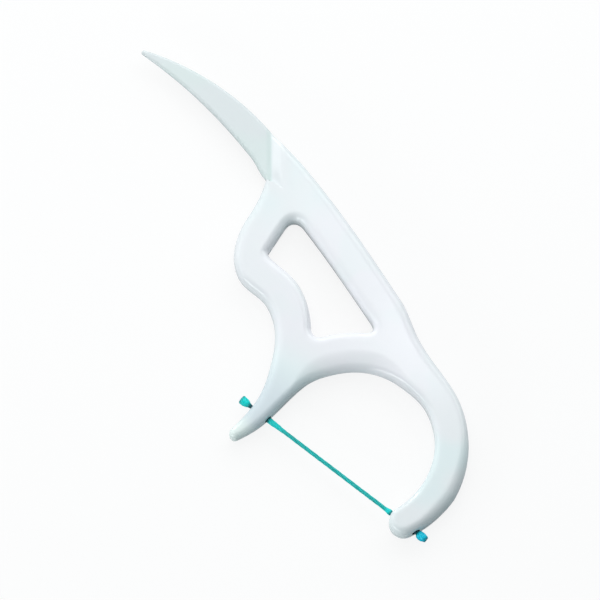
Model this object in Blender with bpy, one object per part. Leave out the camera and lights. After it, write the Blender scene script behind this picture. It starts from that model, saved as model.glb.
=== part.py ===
# Floss pick: a moulded handle with a toothpick tail, a finger grip and a bow,
# and the strand of floss that is held taut across the bow.
#
# Lengths are in metres. The outline is drawn in the XY plane with its zero at the bow's
# centre and at half the handle's thickness. +X runs from the tail to the bow and +Y towards
# the spine. The finished part lies on its back face at Z = 0, with its box centred on X and Y.

import math

import bmesh
import bpy
from mathutils import Matrix, Vector
from mathutils.geometry import delaunay_2d_cdt, interpolate_bezier, intersect_line_line_2d

# Thickness and rounded edges of the moulded handle
BODY_THICKNESS = 0.0034
EDGE_ROUNDING = 0.00115
SPINE_EDGE_ROUNDING = 0.00065
BOW_EDGE_ROUNDING = 0.00085
ARM_EDGE_ROUNDING = 0.0015
ARM_TIP_EDGE_ROUNDING = 0.0010
TAIL_EDGE_ROUNDING = 0.00045
ROUNDING_OF_WALL_SHARE = 0.85
ROUNDING_OF_THICKNESS_SHARE = 0.84

# Bow, the arch that goes round the tooth, with the thick arm on the spine's side
BOW_RADIUS = 0.0106
CROSSBAR_WIDTH = 0.00476
BOW_ARM_WIDTH = 0.00425
BOW_ARM_TIP_WIDTH = 0.00379
BOW_ARM_ROOT_ANGLE = math.radians(95)
BOW_ARM_NARROWS_ANGLE = math.radians(34)
BOW_ARM_TIP_ANGLE = math.radians(4.3)

# Brow, by which the crossbar stands a little into the bow's circle
BROW = 0.00036
BROW_STARTS_ANGLE = math.radians(193)
BROW_IS_FULL_ANGLE = math.radians(165)
BROW_IS_FULL_UNTIL_ANGLE = math.radians(118)
BROW_ENDS_ANGLE = math.radians(90)
ARM_DRAWN_IN = 0.00026
ARM_DRAWS_IN_ANGLE = math.radians(125)

# Crescent that slopes down along the top of the bow's inner side
SLOPE_WIDTH = 0.0024
SLOPE_DEPTH = 0.0007
SLOPE_POWER = 1.45
SLOPE_STARTS_ANGLE = math.radians(215)
SLOPE_IS_BROAD_ANGLE = math.radians(170)
SLOPE_IS_FULL_ANGLE = math.radians(130)
SLOPE_ENDS_ANGLE = math.radians(72)

# Beak, the slender arm on the other side, placed back from and out from the bow's centre
BEAK_LEAVES_BOW_ANGLE = math.radians(188)
BEAK_NECK_BACK = 0.01079
BEAK_NECK_OUT = 0.00943
BEAK_NECK_WIDTH = 0.00261
BEAK_NECK_HEADING = math.radians(-65)
BEAK_NECK_INNER_HEADING = math.radians(108)
BEAK_TIP_BACK = 0.00855
BEAK_TIP_OUT = 0.01313
BEAK_TIP_RADIUS = 0.00072
BEAK_TIP_HEADING = math.radians(-69)
BEAK_TIP_INNER_HEADING = math.radians(86.5)
BEAK_TIP_THICKNESS = 0.0023
BEAK_TAPER_LENGTH = 0.0070

# Spine, the wide band along the outer edge, set in from the top of the thick arm
SPINE_WIDTH = 0.00503
HOLLOW_BACK = 0.0088
HOLLOW_DEPTH = 0.0008
CROWN_BACK = 0.0149
CROWN_DEPTH = 0.00053
CROWN_HEADING = math.radians(184)
SHOULDER_BEHIND_BAR = 0.0211
SHOULDER_DEPTH = 0.00311
SHOULDER_HEADING = math.radians(191)
SPINE_END_HEADING = math.radians(196)

# Finger grip, the wavy limb beside the window, placed behind the crossbar
GRIP_WIDTH = 0.0050
HAUNCH_WIDTH = 0.00455
FLANK_WIDTH = 0.00479
NOTCH_BEHIND_BAR = 0.0221
NOTCH_UP = 0.00643
NOTCH_LENGTH = 0.0008
NOTCH_ENTRY_HEADING = math.radians(6)
NOTCH_HEADING = math.radians(-45)
FLANK_BEHIND_BAR = 0.01881
FLANK_UP = 0.0019
FLANK_HEADING = math.radians(-59.4)
BUMP_BEHIND_BAR = 0.0123
BUMP_OUT = 0.00283
WAIST_BEHIND_BAR = 0.0068
WAIST_OUT = 0.00138
HAUNCH_AHEAD_OF_BAR = 0.00046
HAUNCH_OUT = 0.00457
HAUNCH_HEADING = math.radians(-40.6)

# Corners of the window between the spine, the grip and the crossbar
WINDOW_TOP_CORNER = 0.0021
WINDOW_BEND_CORNER = 0.0006
WINDOW_GRIP_CORNER = 0.00175
WINDOW_SPINE_CORNER = 0.00165
WINDOW_BAR_START_ANGLE = math.radians(190)
WINDOW_BAR_END_ANGLE = math.radians(100)
CORNER_REACH_SHARE = 0.6

# Toothpick tail: a thin blade that bends to one side and tapers to a round point
TAIL_LENGTH = 0.0206
TAIL_ROOT_BEHIND_BAR = 0.0266
TAIL_ROOT_UP = 0.00811
TAIL_ROOT_WIDTH = 0.00397
TAIL_TIP_RADIUS = 0.0003
TAIL_BEND_RADIUS = 0.0462
TAIL_ROOT_HEADING = math.radians(190)
TAIL_ROOT_THICKNESS = 0.0016
TAIL_TIP_THICKNESS = 0.0008
TAIL_FULLNESS = 0.84

# Step where the thin tail runs out of the thick body: a ramp with a rounded foot and top
STEP_RUN = 0.0014
STEP_NOTCH_LAG = 0.0001
STEP_FACING = math.radians(63)

# Floss strand, from the cut stub behind the beak to the one outside the thick arm
STRAND_DIAMETER = 0.0005
STRAND_GAP = 0.0003
BEAK_FLARE_DIAMETER = 0.00084
BEAK_FLARE_LENGTH = 0.0026
ARM_FLARE_DIAMETER = 0.0007
ARM_FLARE_LENGTH = 0.0010
STUB_DIAMETER = 0.0011
BEAK_STUB_LENGTH = 0.00155
ARM_STUB_LENGTH = 0.0014
CUT_OVERRUN = 0.0010

# Shares of a stub's length, from the arm outwards, and of its diameter
BEAK_STUB_SHARES = ((0.0, 0.50), (0.25, 0.60), (0.55, 0.95), (0.85, 1.0), (1.0, 0.80))
ARM_STUB_SHARES = ((0.0, 0.50), (0.20, 0.95), (0.80, 1.0), (1.0, 0.85))
# Shares of a flare's length, from the arm inwards, and of its growth over the thin strand
FLARE_SHARES = ((0.0, 1.0), (0.5, 0.5), (1.0, 0.0))

# Fineness of the surfaces
POINT_SPACING = 0.0006
FINE_SPACING = 0.0003
ROUND_END_STEPS = 10
EDGE_STEPS = 4
EVENING_PASSES = 3
SLOPE_ROWS = 5
STRAND_SIDES = 16
PEN_REACH_SHARE = 0.36
SHARP_ANGLE = math.radians(50)

HALF_TURN = math.pi
QUARTER_TURN = math.pi / 2


# Drawing tools

def heading(angle):
    """Unit vector that points along an angle."""
    return Vector((math.cos(angle), math.sin(angle)))


def left_of(place, angle, distance):
    """The point beside a place, to the left of the way that an angle points."""
    return place + distance * heading(angle + QUARTER_TURN)


def ease(share):
    """Smooth run from 0 to 1 with a level start and end."""
    held = min(max(share, 0.0), 1.0)
    return held * held * (3 - 2 * held)


def pen_line(knots, spacing=POINT_SPACING):
    """Smooth line through knots, each a place and the heading it is passed with."""
    line = []
    for (start, start_angle), (end, end_angle) in zip(knots, knots[1:]):
        reach = (end - start).length * PEN_REACH_SHARE
        leave = start + reach * heading(start_angle)
        arrive = end - reach * heading(end_angle)
        steps = max(3, math.ceil((end - start).length / spacing))
        line += interpolate_bezier(start, leave, arrive, end, steps + 1)[:-1]
    return line + [knots[-1][0]]


def arc(centre, start_radius, end_radius, start_angle, end_angle, steps=0):
    """Points round a centre, with a radius that changes evenly along the way."""
    sweep = end_angle - start_angle
    if not steps:
        steps = math.ceil(abs(sweep) * start_radius / POINT_SPACING)
    points = []
    for step in range(steps + 1):
        share = step / steps
        radius = start_radius + share * (end_radius - start_radius)
        points.append(centre + radius * heading(start_angle + share * sweep))
    return points


# Places that several stretches share

def bar_back():
    """How far the crossbar's far side lies behind the bow's centre."""
    return BOW_RADIUS + CROSSBAR_WIDTH


def arm_top():
    """Outer radius of the thick arm where it leaves the spine."""
    return BOW_RADIUS + BOW_ARM_WIDTH


def behind_bar(distance, up):
    return Vector((-bar_back() - distance, up))


def brow(turn):
    """How far the crossbar stands into the bow's circle at an angle round its centre."""
    rise = ease((turn - BROW_ENDS_ANGLE) / (BROW_IS_FULL_UNTIL_ANGLE - BROW_ENDS_ANGLE))
    fall = ease((BROW_STARTS_ANGLE - turn) / (BROW_STARTS_ANGLE - BROW_IS_FULL_ANGLE))
    return BROW * rise * fall


def drawn_in(turn):
    """How far the thick arm draws in towards its tip at an angle round the bow's centre."""
    arm_run = ARM_DRAWS_IN_ANGLE - BOW_ARM_TIP_ANGLE
    return ARM_DRAWN_IN * ease((ARM_DRAWS_IN_ANGLE - turn) / arm_run)


def bow_reach(turn):
    """Distance of the bow's inner side from its centre at an angle round it."""
    return BOW_RADIUS - brow(turn) - drawn_in(turn)


def bow_side(turn):
    """Place on the bow's inner side."""
    return bow_reach(turn) * heading(turn)


def arm_tip_centre():
    middle = bow_reach(BOW_ARM_TIP_ANGLE) + BOW_ARM_TIP_WIDTH / 2
    return middle * heading(BOW_ARM_TIP_ANGLE)


def beak_tip_centre():
    return Vector((-BEAK_TIP_BACK, -BEAK_TIP_OUT))


def beak_neck():
    """Outer side of the beak where the strand crosses it."""
    return Vector((-BEAK_NECK_BACK, -BEAK_NECK_OUT))


def beak_hole():
    """Middle of the beak's neck, which the strand runs through."""
    return left_of(beak_neck(), BEAK_NECK_HEADING, BEAK_NECK_WIDTH / 2)


def notch():
    return behind_bar(NOTCH_BEHIND_BAR, NOTCH_UP)


def flank():
    return behind_bar(FLANK_BEHIND_BAR, FLANK_UP)


def bump():
    return behind_bar(BUMP_BEHIND_BAR, -BUMP_OUT)


def waist():
    return behind_bar(WAIST_BEHIND_BAR, -WAIST_OUT)


def haunch():
    return behind_bar(-HAUNCH_AHEAD_OF_BAR, -HAUNCH_OUT)


# Outer outline of the handle, drawn with the material on the left

def tail_half_width(share):
    """Half the tail's width, where share runs from 0 at the root to 1 at the tip."""
    fullness = math.sin(QUARTER_TURN * (1 - share)) ** TAIL_FULLNESS
    return TAIL_TIP_RADIUS + (TAIL_ROOT_WIDTH / 2 - TAIL_TIP_RADIUS) * fullness


def tail_outline():
    """The tail's upper edge from root to tip, its round tip, and its lower edge back."""
    root = behind_bar(TAIL_ROOT_BEHIND_BAR, TAIL_ROOT_UP)
    turn = TAIL_LENGTH / TAIL_BEND_RADIUS
    start = TAIL_ROOT_HEADING - QUARTER_TURN
    bend_centre = left_of(root, TAIL_ROOT_HEADING, TAIL_BEND_RADIUS)
    middle = arc(bend_centre, TAIL_BEND_RADIUS, TAIL_BEND_RADIUS, start, start + turn)
    upper = []
    lower = []
    for step, point in enumerate(middle):
        share = step / (len(middle) - 1)
        side = heading(start + share * turn)
        upper.append(point + tail_half_width(share) * side)
        lower.append(point - tail_half_width(share) * side)
    tip = arc(
        middle[-1], TAIL_TIP_RADIUS, TAIL_TIP_RADIUS,
        start + turn, start + turn + HALF_TURN, ROUND_END_STEPS,
    )
    return upper, tip[1:-1], lower[::-1]


def grip_edge(tail_lower_end):
    """From the tail's lower edge, round the notch and over the finger grip to the neck."""
    notch_entry = notch() - NOTCH_LENGTH * heading(NOTCH_ENTRY_HEADING)
    notch_exit = notch() - NOTCH_LENGTH / 2 * heading(QUARTER_TURN)
    into_notch = pen_line([
        (tail_lower_end, TAIL_ROOT_HEADING - HALF_TURN),
        (notch_entry, NOTCH_ENTRY_HEADING),
    ])
    round_notch = pen_line(
        [(notch_entry, NOTCH_ENTRY_HEADING), (notch_exit, NOTCH_HEADING)], FINE_SPACING,
    )
    over_grip = pen_line([
        (notch_exit, NOTCH_HEADING),
        (flank(), FLANK_HEADING),
        (bump(), 0),
        (waist(), 0),
        (haunch(), HAUNCH_HEADING),
        (beak_neck(), BEAK_NECK_HEADING),
    ])
    return into_notch[1:-1] + round_notch[:-1] + over_grip


def beak_edge():
    """From the beak's neck round its tip and back to the inside of the bow."""
    tip = arc(
        beak_tip_centre(), BEAK_TIP_RADIUS, BEAK_TIP_RADIUS,
        BEAK_TIP_HEADING - QUARTER_TURN, BEAK_TIP_INNER_HEADING - QUARTER_TURN, ROUND_END_STEPS,
    )
    outer_side = pen_line([(beak_neck(), BEAK_NECK_HEADING), (tip[0], BEAK_TIP_HEADING)])
    inner_side = pen_line([
        (tip[-1], BEAK_TIP_INNER_HEADING),
        (left_of(beak_neck(), BEAK_NECK_HEADING, BEAK_NECK_WIDTH), BEAK_NECK_INNER_HEADING),
        (bow_side(BEAK_LEAVES_BOW_ANGLE), BEAK_LEAVES_BOW_ANGLE - QUARTER_TURN),
    ])
    return outer_side[1:-1] + tip + inner_side[1:-1]


def bow_arm_edge():
    """Along the inside of the bow, round the thick arm's tip and back up its outside."""
    zero = Vector((0, 0))
    sweep = BEAK_LEAVES_BOW_ANGLE - BOW_ARM_TIP_ANGLE
    steps = math.ceil(sweep * BOW_RADIUS / POINT_SPACING)
    inner = [bow_side(BEAK_LEAVES_BOW_ANGLE - step / steps * sweep) for step in range(steps + 1)]
    tip = arc(
        arm_tip_centre(), BOW_ARM_TIP_WIDTH / 2, BOW_ARM_TIP_WIDTH / 2,
        BOW_ARM_TIP_ANGLE + HALF_TURN, BOW_ARM_TIP_ANGLE + 2 * HALF_TURN, ROUND_END_STEPS,
    )
    tip_top = bow_reach(BOW_ARM_TIP_ANGLE) + BOW_ARM_TIP_WIDTH
    narrow = arc(zero, tip_top, arm_top(), BOW_ARM_TIP_ANGLE, BOW_ARM_NARROWS_ANGLE)
    full = arc(zero, arm_top(), arm_top(), BOW_ARM_NARROWS_ANGLE, BOW_ARM_ROOT_ANGLE)
    return inner + tip[1:-1] + narrow[:-1] + full[:-1]


def spine_edge(tail_upper_start):
    """From the thick arm along the spine's outer edge to the root of the tail."""
    return pen_line([
        (arm_top() * heading(BOW_ARM_ROOT_ANGLE), BOW_ARM_ROOT_ANGLE + QUARTER_TURN),
        (Vector((-HOLLOW_BACK, arm_top() - HOLLOW_DEPTH)), HALF_TURN),
        (Vector((-CROWN_BACK, arm_top() - CROWN_DEPTH)), CROWN_HEADING),
        (behind_bar(SHOULDER_BEHIND_BAR, arm_top() - SHOULDER_DEPTH), SHOULDER_HEADING),
        (tail_upper_start, SPINE_END_HEADING),
    ])


def outer_outline():
    upper, tip, lower = tail_outline()
    outline = grip_edge(lower[-1])
    outline += beak_edge()
    outline += bow_arm_edge()
    outline += spine_edge(upper[0])[:-1]
    outline += upper + tip + lower
    return outline


# Window, whose sides keep the widths of the flank, the grip, the crossbar and the spine

def moved_left(line, distance):
    """A line moved to its left by a distance, measured square to it."""
    moved = []
    for index, point in enumerate(line):
        before = line[max(index - 1, 0)]
        after = line[min(index + 1, len(line) - 1)]
        along = (after - before).normalized()
        moved.append(point + distance * Vector((-along.y, along.x)))
    return moved


def crossing(first, second):
    """Where two lines cross, with the number of the segment of each that holds it."""
    for i in range(len(first) - 1):
        for j in range(len(second) - 1):
            place = intersect_line_line_2d(first[i], first[i + 1], second[j], second[j + 1])
            if place:
                return place, i, j
    raise ValueError("two sides of the window do not cross")


def cut_back(line, corner, setback):
    """A line whose end lies at a corner, cut so that it stops a setback short of it."""
    kept = list(line)
    while len(kept) > 1 and (kept[-1] - corner).length < setback:
        kept.pop()
    towards = (kept[-1] - corner).normalized()
    return kept + [corner + setback * towards]


def rounded_corner(line, next_line, setback):
    """Two lines cut at their crossing and joined by a curve that starts a setback from it."""
    corner, i, j = crossing(line, next_line)
    before = cut_back(line[:i + 1], corner, setback)
    after = cut_back(next_line[:j:-1], corner, setback)[::-1]
    steps = max(4, math.ceil(2 * setback / FINE_SPACING))
    leave = before[-1].lerp(corner, CORNER_REACH_SHARE)
    arrive = after[0].lerp(corner, CORNER_REACH_SHARE)
    curve = interpolate_bezier(before[-1], leave, arrive, after[0], steps + 1)
    return before + curve[1:-1], after


def flank_side():
    """The window's straight side along the flank of the grip."""
    middle = left_of(flank(), FLANK_HEADING, FLANK_WIDTH)
    reach = FLANK_WIDTH + GRIP_WIDTH
    return [middle + share * reach * heading(FLANK_HEADING) for share in (-1, -0.5, 0, 0.5, 1)]


def palm_side():
    """The window's wavy side, a grip's width from the bump, the waist and the haunch."""
    start = left_of(bump(), 0, GRIP_WIDTH)
    end = left_of(haunch(), HAUNCH_HEADING, HAUNCH_WIDTH)
    line = pen_line([(start, 0), (left_of(waist(), 0, GRIP_WIDTH), 0), (end, HAUNCH_HEADING)])
    ahead = [end + GRIP_WIDTH * heading(HAUNCH_HEADING)]
    return [start - GRIP_WIDTH * heading(0)] + line + ahead


def window_outline():
    """The window with its four rounded corners, as one closed line."""
    upper, _, _ = tail_outline()
    spine_side = moved_left(spine_edge(upper[0]), SPINE_WIDTH)
    bar_side = arc(
        Vector((0, 0)), bar_back(), bar_back(), WINDOW_BAR_START_ANGLE, WINDOW_BAR_END_ANGLE,
    )
    flank_part, palm_part = rounded_corner(flank_side(), palm_side(), WINDOW_BEND_CORNER)
    palm_part, bar_part = rounded_corner(palm_part, bar_side, WINDOW_GRIP_CORNER)
    bar_part, spine_part = rounded_corner(bar_part, spine_side, WINDOW_SPINE_CORNER)
    spine_part, flank_part = rounded_corner(spine_part, flank_part, WINDOW_TOP_CORNER)
    return flank_part + palm_part + bar_part + spine_part


# Height of the handle's faces over its middle plane

def step_share(point):
    """0 on the tail and 1 on the body, with the ramp of the step between them."""
    from_notch = point - notch()
    up_ramp = from_notch.dot(heading(STEP_FACING))
    past_notch = from_notch.dot(heading(STEP_FACING - QUARTER_TURN))
    return ease((max(up_ramp, past_notch) - STEP_NOTCH_LAG) / STEP_RUN)


def tail_thickness(point):
    root = behind_bar(TAIL_ROOT_BEHIND_BAR, TAIL_ROOT_UP)
    share = min((root - point).length / TAIL_LENGTH, 1.0)
    return TAIL_ROOT_THICKNESS + share * (TAIL_TIP_THICKNESS - TAIL_ROOT_THICKNESS)


def body_thickness(point):
    """The body's thickness, which falls off towards the tip of the beak."""
    on_body = ease((point - beak_tip_centre()).length / BEAK_TAPER_LENGTH)
    return BEAK_TIP_THICKNESS + on_body * (BODY_THICKNESS - BEAK_TIP_THICKNESS)


def turn_round_bow(point):
    """Angle of a point round the bow's centre, from just before the thick arm's tip."""
    before_tip = QUARTER_TURN / 2
    return (math.atan2(point.y, point.x) + before_tip) % (2 * HALF_TURN) - before_tip


def slope_share(turn):
    """How broad and deep the crescent is along the bow, from 0 at its two ends to 1."""
    rise = ease((turn - SLOPE_ENDS_ANGLE) / (SLOPE_IS_FULL_ANGLE - SLOPE_ENDS_ANGLE))
    fall = ease((SLOPE_STARTS_ANGLE - turn) / (SLOPE_STARTS_ANGLE - SLOPE_IS_BROAD_ANGLE))
    return rise * fall


def slope_drop(point):
    """How far the face has sunk in the crescent inside the bow."""
    turn = turn_round_bow(point)
    share = slope_share(turn)
    width = SLOPE_WIDTH * share
    off_bow = point.length - bow_reach(turn)
    if not width or off_bow >= width:
        return 0.0
    return SLOPE_DEPTH * share * min(1 - off_bow / width, 1.0) ** SLOPE_POWER


def face_height(point):
    on_body = step_share(point)
    thickness = on_body * body_thickness(point) + (1 - on_body) * tail_thickness(point)
    return thickness / 2 - slope_drop(point)


def arm_rounding(point):
    """Rounding of the thick arm's outer side, which is smaller round its tip."""
    off_tip = ((point - arm_tip_centre()).length - BOW_ARM_TIP_WIDTH / 2) / BOW_ARM_TIP_WIDTH
    return ARM_TIP_EDGE_ROUNDING + ease(off_tip) * (ARM_EDGE_ROUNDING - ARM_TIP_EDGE_ROUNDING)


def widest_rounding(point):
    """How far the rounded edge may reach over the face near a point of the outline."""
    turn = turn_round_bow(point)
    rounding = EDGE_ROUNDING
    if point.y > BOW_RADIUS - BOW_EDGE_ROUNDING:
        on_spine = ease((BEAK_LEAVES_BOW_ANGLE - QUARTER_TURN / 2 - turn) / QUARTER_TURN)
        rounding += on_spine * (SPINE_EDGE_ROUNDING - rounding)
    arm_run = BOW_ARM_ROOT_ANGLE - BOW_ARM_NARROWS_ANGLE
    down_arm = ease((BOW_ARM_ROOT_ANGLE - turn) / arm_run)
    rounding += down_arm * (arm_rounding(point) - rounding)
    near_bow = 1 - ease((point.length - BOW_RADIUS) / BOW_ARM_WIDTH * 2)
    rounding += near_bow * (BOW_EDGE_ROUNDING - rounding)
    on_body = step_share(point)
    return on_body * rounding + (1 - on_body) * TAIL_EDGE_ROUNDING


# Solid of the handle

def inward_normals(outline):
    """Unit vectors into the material, which lies to the left of a closed line."""
    normals = []
    for index, point in enumerate(outline):
        before = outline[index - 1]
        after = outline[(index + 1) % len(outline)]
        along = ((point - before).normalized() + (after - point).normalized()).normalized()
        normals.append(Vector((-along.y, along.x)))
    return normals


def wall_radius(point, normal, walls):
    """Radius of the largest circle inside the material that touches the edge at a point."""
    smallest = math.inf
    for other in walls:
        reach = other - point
        depth = reach.dot(normal)
        if depth > 0 and reach.length > FINE_SPACING:
            smallest = min(smallest, reach.length_squared / (2 * depth))
    return smallest


def edge_reaches(outline, normals, walls):
    """Reach of the rounded edge at each point, held within the wall and evened out."""
    reaches = []
    for point, normal in zip(outline, normals):
        in_wall = ROUNDING_OF_WALL_SHARE * wall_radius(point, normal, walls)
        reaches.append(min(widest_rounding(point), in_wall))
    count = len(reaches)
    for _ in range(EVENING_PASSES):
        reaches = [
            min(reaches[i], (reaches[i - 1] + reaches[i] + reaches[(i + 1) % count]) / 3)
            for i in range(count)
        ]
    return reaches


def edge_loop(mesh, outline, normals, reaches, side, turn):
    """One loop of the rounded edge: turn is 0 on the wall and a quarter turn on the face."""
    loop = []
    for point, normal, reach in zip(outline, normals, reaches):
        place = point + reach * (1 - math.cos(turn)) * normal
        face = face_height(place)
        rise = min(reach, ROUNDING_OF_THICKNESS_SHARE * face)
        height = face - rise * (1 - math.sin(turn))
        loop.append(mesh.verts.new((place.x, place.y, side * height)))
    return loop


def edge_loops(mesh, outline, walls):
    """Loops of the rounded edge, from the upper face's rim down to the lower face's."""
    normals = inward_normals(outline)
    reaches = edge_reaches(outline, normals, walls)
    turns = [QUARTER_TURN * step / EDGE_STEPS for step in range(EDGE_STEPS + 1)]
    upper = [edge_loop(mesh, outline, normals, reaches, 1, turn) for turn in reversed(turns)]
    lower = [edge_loop(mesh, outline, normals, reaches, -1, turn) for turn in turns]
    return upper + lower


def bridge(mesh, loops):
    """Walls between loops that run the same way, with the material on their left."""
    for above, below in zip(loops, loops[1:]):
        for i in range(len(above)):
            mesh.faces.new((above[i - 1], below[i - 1], below[i], above[i]))


def inside(point, outline):
    """Whether a closed line goes round a point."""
    is_inside = False
    for before, after in zip(outline, outline[1:] + outline[:1]):
        if (before.y > point.y) != (after.y > point.y):
            share = (point.y - before.y) / (after.y - before.y)
            if point.x < before.x + share * (after.x - before.x):
                is_inside = not is_inside
    return is_inside


def ramp_points(rim):
    """Points across the step, in rows that follow its ramp, kept clear of the rim."""
    reach = math.ceil(2 * TAIL_ROOT_WIDTH / FINE_SPACING)
    points = []
    for row in range(-reach, reach + 1):
        for column in range(-reach, reach + 1):
            up_ramp = row * FINE_SPACING * heading(STEP_FACING)
            past_notch = column * FINE_SPACING * heading(STEP_FACING - QUARTER_TURN)
            point = notch() + up_ramp + past_notch
            if 0 < step_share(point) < 1 and is_clear(point, rim):
                points.append(point)
    return points


def slope_points(rim):
    """Points over the crescent, in rows that follow the bow, kept clear of the rim."""
    sweep = SLOPE_STARTS_ANGLE - SLOPE_ENDS_ANGLE
    columns = math.ceil(sweep * BOW_RADIUS / POINT_SPACING)
    points = []
    for column in range(1, columns):
        turn = SLOPE_ENDS_ANGLE + column / columns * sweep
        width = SLOPE_WIDTH * slope_share(turn)
        for row in range(1, SLOPE_ROWS + 1):
            point = bow_side(turn) + row / SLOPE_ROWS * width * heading(turn)
            if is_clear(point, rim):
                points.append(point)
    return points


def is_clear(point, rim):
    """Whether a point lies inside a rim and not too near to it."""
    clearance = min((point - edge).length for edge in rim)
    return clearance > FINE_SPACING and inside(point, rim)


def face_triangles(rim, hole, inner):
    """Triangles of a face between its rim and the window's, as numbers into all its points."""
    points = rim + hole + inner
    first = len(rim)
    edges = [(i, (i + 1) % len(rim)) for i in range(len(rim))]
    edges += [(first + i, first + (i + 1) % len(hole)) for i in range(len(hole))]
    _, _, faces, sources, _, _ = delaunay_2d_cdt(points, edges, [], 0, 0)
    triangles = []
    for face in faces:
        corners = [sources[i][0] for i in face]
        middle = (points[corners[0]] + points[corners[1]] + points[corners[2]]) / 3
        if inside(middle, rim) and not inside(middle, hole):
            triangles.append(corners)
    return triangles


def handle_mesh():
    """The moulded handle, one closed skin round its outline and its window."""
    mesh = bmesh.new()
    outer = outer_outline()
    window = window_outline()[::-1]
    outer_loops = edge_loops(mesh, outer, outer + window)
    window_loops = edge_loops(mesh, window, outer + window)
    bridge(mesh, outer_loops)
    bridge(mesh, window_loops)
    rim = [vertex.co.xy for vertex in outer_loops[0]]
    hole = [vertex.co.xy for vertex in window_loops[0]]
    inner = ramp_points(rim) + slope_points(rim)
    triangles = face_triangles(rim, hole, inner)
    for side, loop in ((1, 0), (-1, -1)):
        skin = [mesh.verts.new((p.x, p.y, side * face_height(p))) for p in inner]
        corners = outer_loops[loop] + window_loops[loop] + skin
        for triangle in triangles:
            mesh.faces.new([corners[i] for i in triangle][::side])
    return mesh


# Floss strand, drawn along X from the hole in the beak and then turned into its place

def strand_direction():
    return (arm_tip_centre() - beak_hole()).normalized()


def strand_faces():
    """Distances along the strand, from the beak's hole, where it enters and leaves the arms."""
    outline = outer_outline()
    reach = 2 * (arm_top() + BODY_THICKNESS)
    start = beak_hole() - reach * strand_direction()
    end = beak_hole() + 2 * reach * strand_direction()
    distances = []
    for before, after in zip(outline, outline[1:] + outline[:1]):
        place = intersect_line_line_2d(start, end, before, after)
        if place:
            distances.append((place - beak_hole()).dot(strand_direction()))
    return sorted(distances)


def strand_profile():
    """Distances along the strand from the beak's hole, with the radius at each."""
    beak_outer, beak_inner, arm_inner, arm_outer = strand_faces()
    thin = STRAND_DIAMETER / 2
    stub = STUB_DIAMETER / 2
    profile = []
    for along, width in reversed(BEAK_STUB_SHARES):
        profile.append((beak_outer - STRAND_GAP - along * BEAK_STUB_LENGTH, width * stub))
    profile.append((beak_outer, thin))
    profile.append((beak_inner, thin))
    for along, growth in FLARE_SHARES:
        radius = thin + growth * (BEAK_FLARE_DIAMETER / 2 - thin)
        profile.append((beak_inner + STRAND_GAP + along * BEAK_FLARE_LENGTH, radius))
    for along, growth in reversed(FLARE_SHARES):
        radius = thin + growth * (ARM_FLARE_DIAMETER / 2 - thin)
        profile.append((arm_inner - STRAND_GAP - along * ARM_FLARE_LENGTH, radius))
    profile.append((arm_inner, thin))
    profile.append((arm_outer, thin))
    for along, width in ARM_STUB_SHARES:
        profile.append((arm_outer + STRAND_GAP + along * ARM_STUB_LENGTH, width * stub))
    return profile


def turned_mesh(profile, sides):
    """A solid turned about X from distances along it and the radius at each."""
    mesh = bmesh.new()
    rings = []
    for distance, radius in profile:
        ring = []
        for side in range(sides):
            around = radius * heading(2 * HALF_TURN * side / sides)
            ring.append(mesh.verts.new((distance, around.x, around.y)))
        rings.append(ring)
    for near, far in zip(rings, rings[1:]):
        for i in range(sides):
            mesh.faces.new((near[i - 1], near[i], far[i], far[i - 1]))
    mesh.faces.new(rings[0])
    mesh.faces.new(rings[-1])
    bmesh.ops.recalc_face_normals(mesh, faces=mesh.faces)
    return mesh


def along_strand(mesh):
    """Moves what is drawn along X to lie along the strand, from the beak's hole."""
    direction = strand_direction()
    turn = Matrix.Rotation(math.atan2(direction.y, direction.x), 4, "Z")
    mesh.transform(Matrix.Translation(beak_hole().to_3d()) @ turn)
    return mesh


def strand_mesh():
    return along_strand(turned_mesh(strand_profile(), STRAND_SIDES))


def bore_cutter_mesh():
    """A round bar along the strand that opens the bores in both arms."""
    flat_to_corner = 1 / math.cos(HALF_TURN / STRAND_SIDES)
    radius = (STRAND_DIAMETER / 2 + STRAND_GAP) * flat_to_corner
    faces = strand_faces()
    profile = [(faces[0] - CUT_OVERRUN, radius), (faces[-1] + CUT_OVERRUN, radius)]
    return along_strand(turned_mesh(profile, STRAND_SIDES))


# Materials and objects

def clear_scene():
    for item in list(bpy.data.objects):
        bpy.data.objects.remove(item, do_unlink=True)


def plastic(name, colour, roughness):
    material = bpy.data.materials.new(name)
    material.use_nodes = True
    shader = material.node_tree.nodes["Principled BSDF"]
    shader.inputs["Base Color"].default_value = (*colour, 1.0)
    shader.inputs["Roughness"].default_value = roughness
    shader.inputs["Metallic"].default_value = 0.0
    return material


def white_plastic():
    return plastic("white_plastic", (0.86, 0.89, 0.90), 0.22)


def teal_floss():
    return plastic("teal_floss", (0.02, 0.50, 0.48), 0.45)


def add_object(name, mesh, parent):
    data = bpy.data.meshes.new(name)
    mesh.to_mesh(data)
    mesh.free()
    data.shade_smooth()
    data.set_sharp_from_angle(angle=SHARP_ANGLE)
    item = bpy.data.objects.new(name, data)
    bpy.context.scene.collection.objects.link(item)
    item.parent = parent
    return item


def add_bow_centre(meshes):
    """An empty at the drawing's zero, placed so that the part lies centred on Z = 0."""
    places = [vertex.co for mesh in meshes for vertex in mesh.verts]
    xs = [place.x for place in places]
    ys = [place.y for place in places]
    zero = bpy.data.objects.new("bow_centre", None)
    zero.location = (-(min(xs) + max(xs)) / 2, -(min(ys) + max(ys)) / 2, BODY_THICKNESS / 2)
    bpy.context.scene.collection.objects.link(zero)
    return zero


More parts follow.
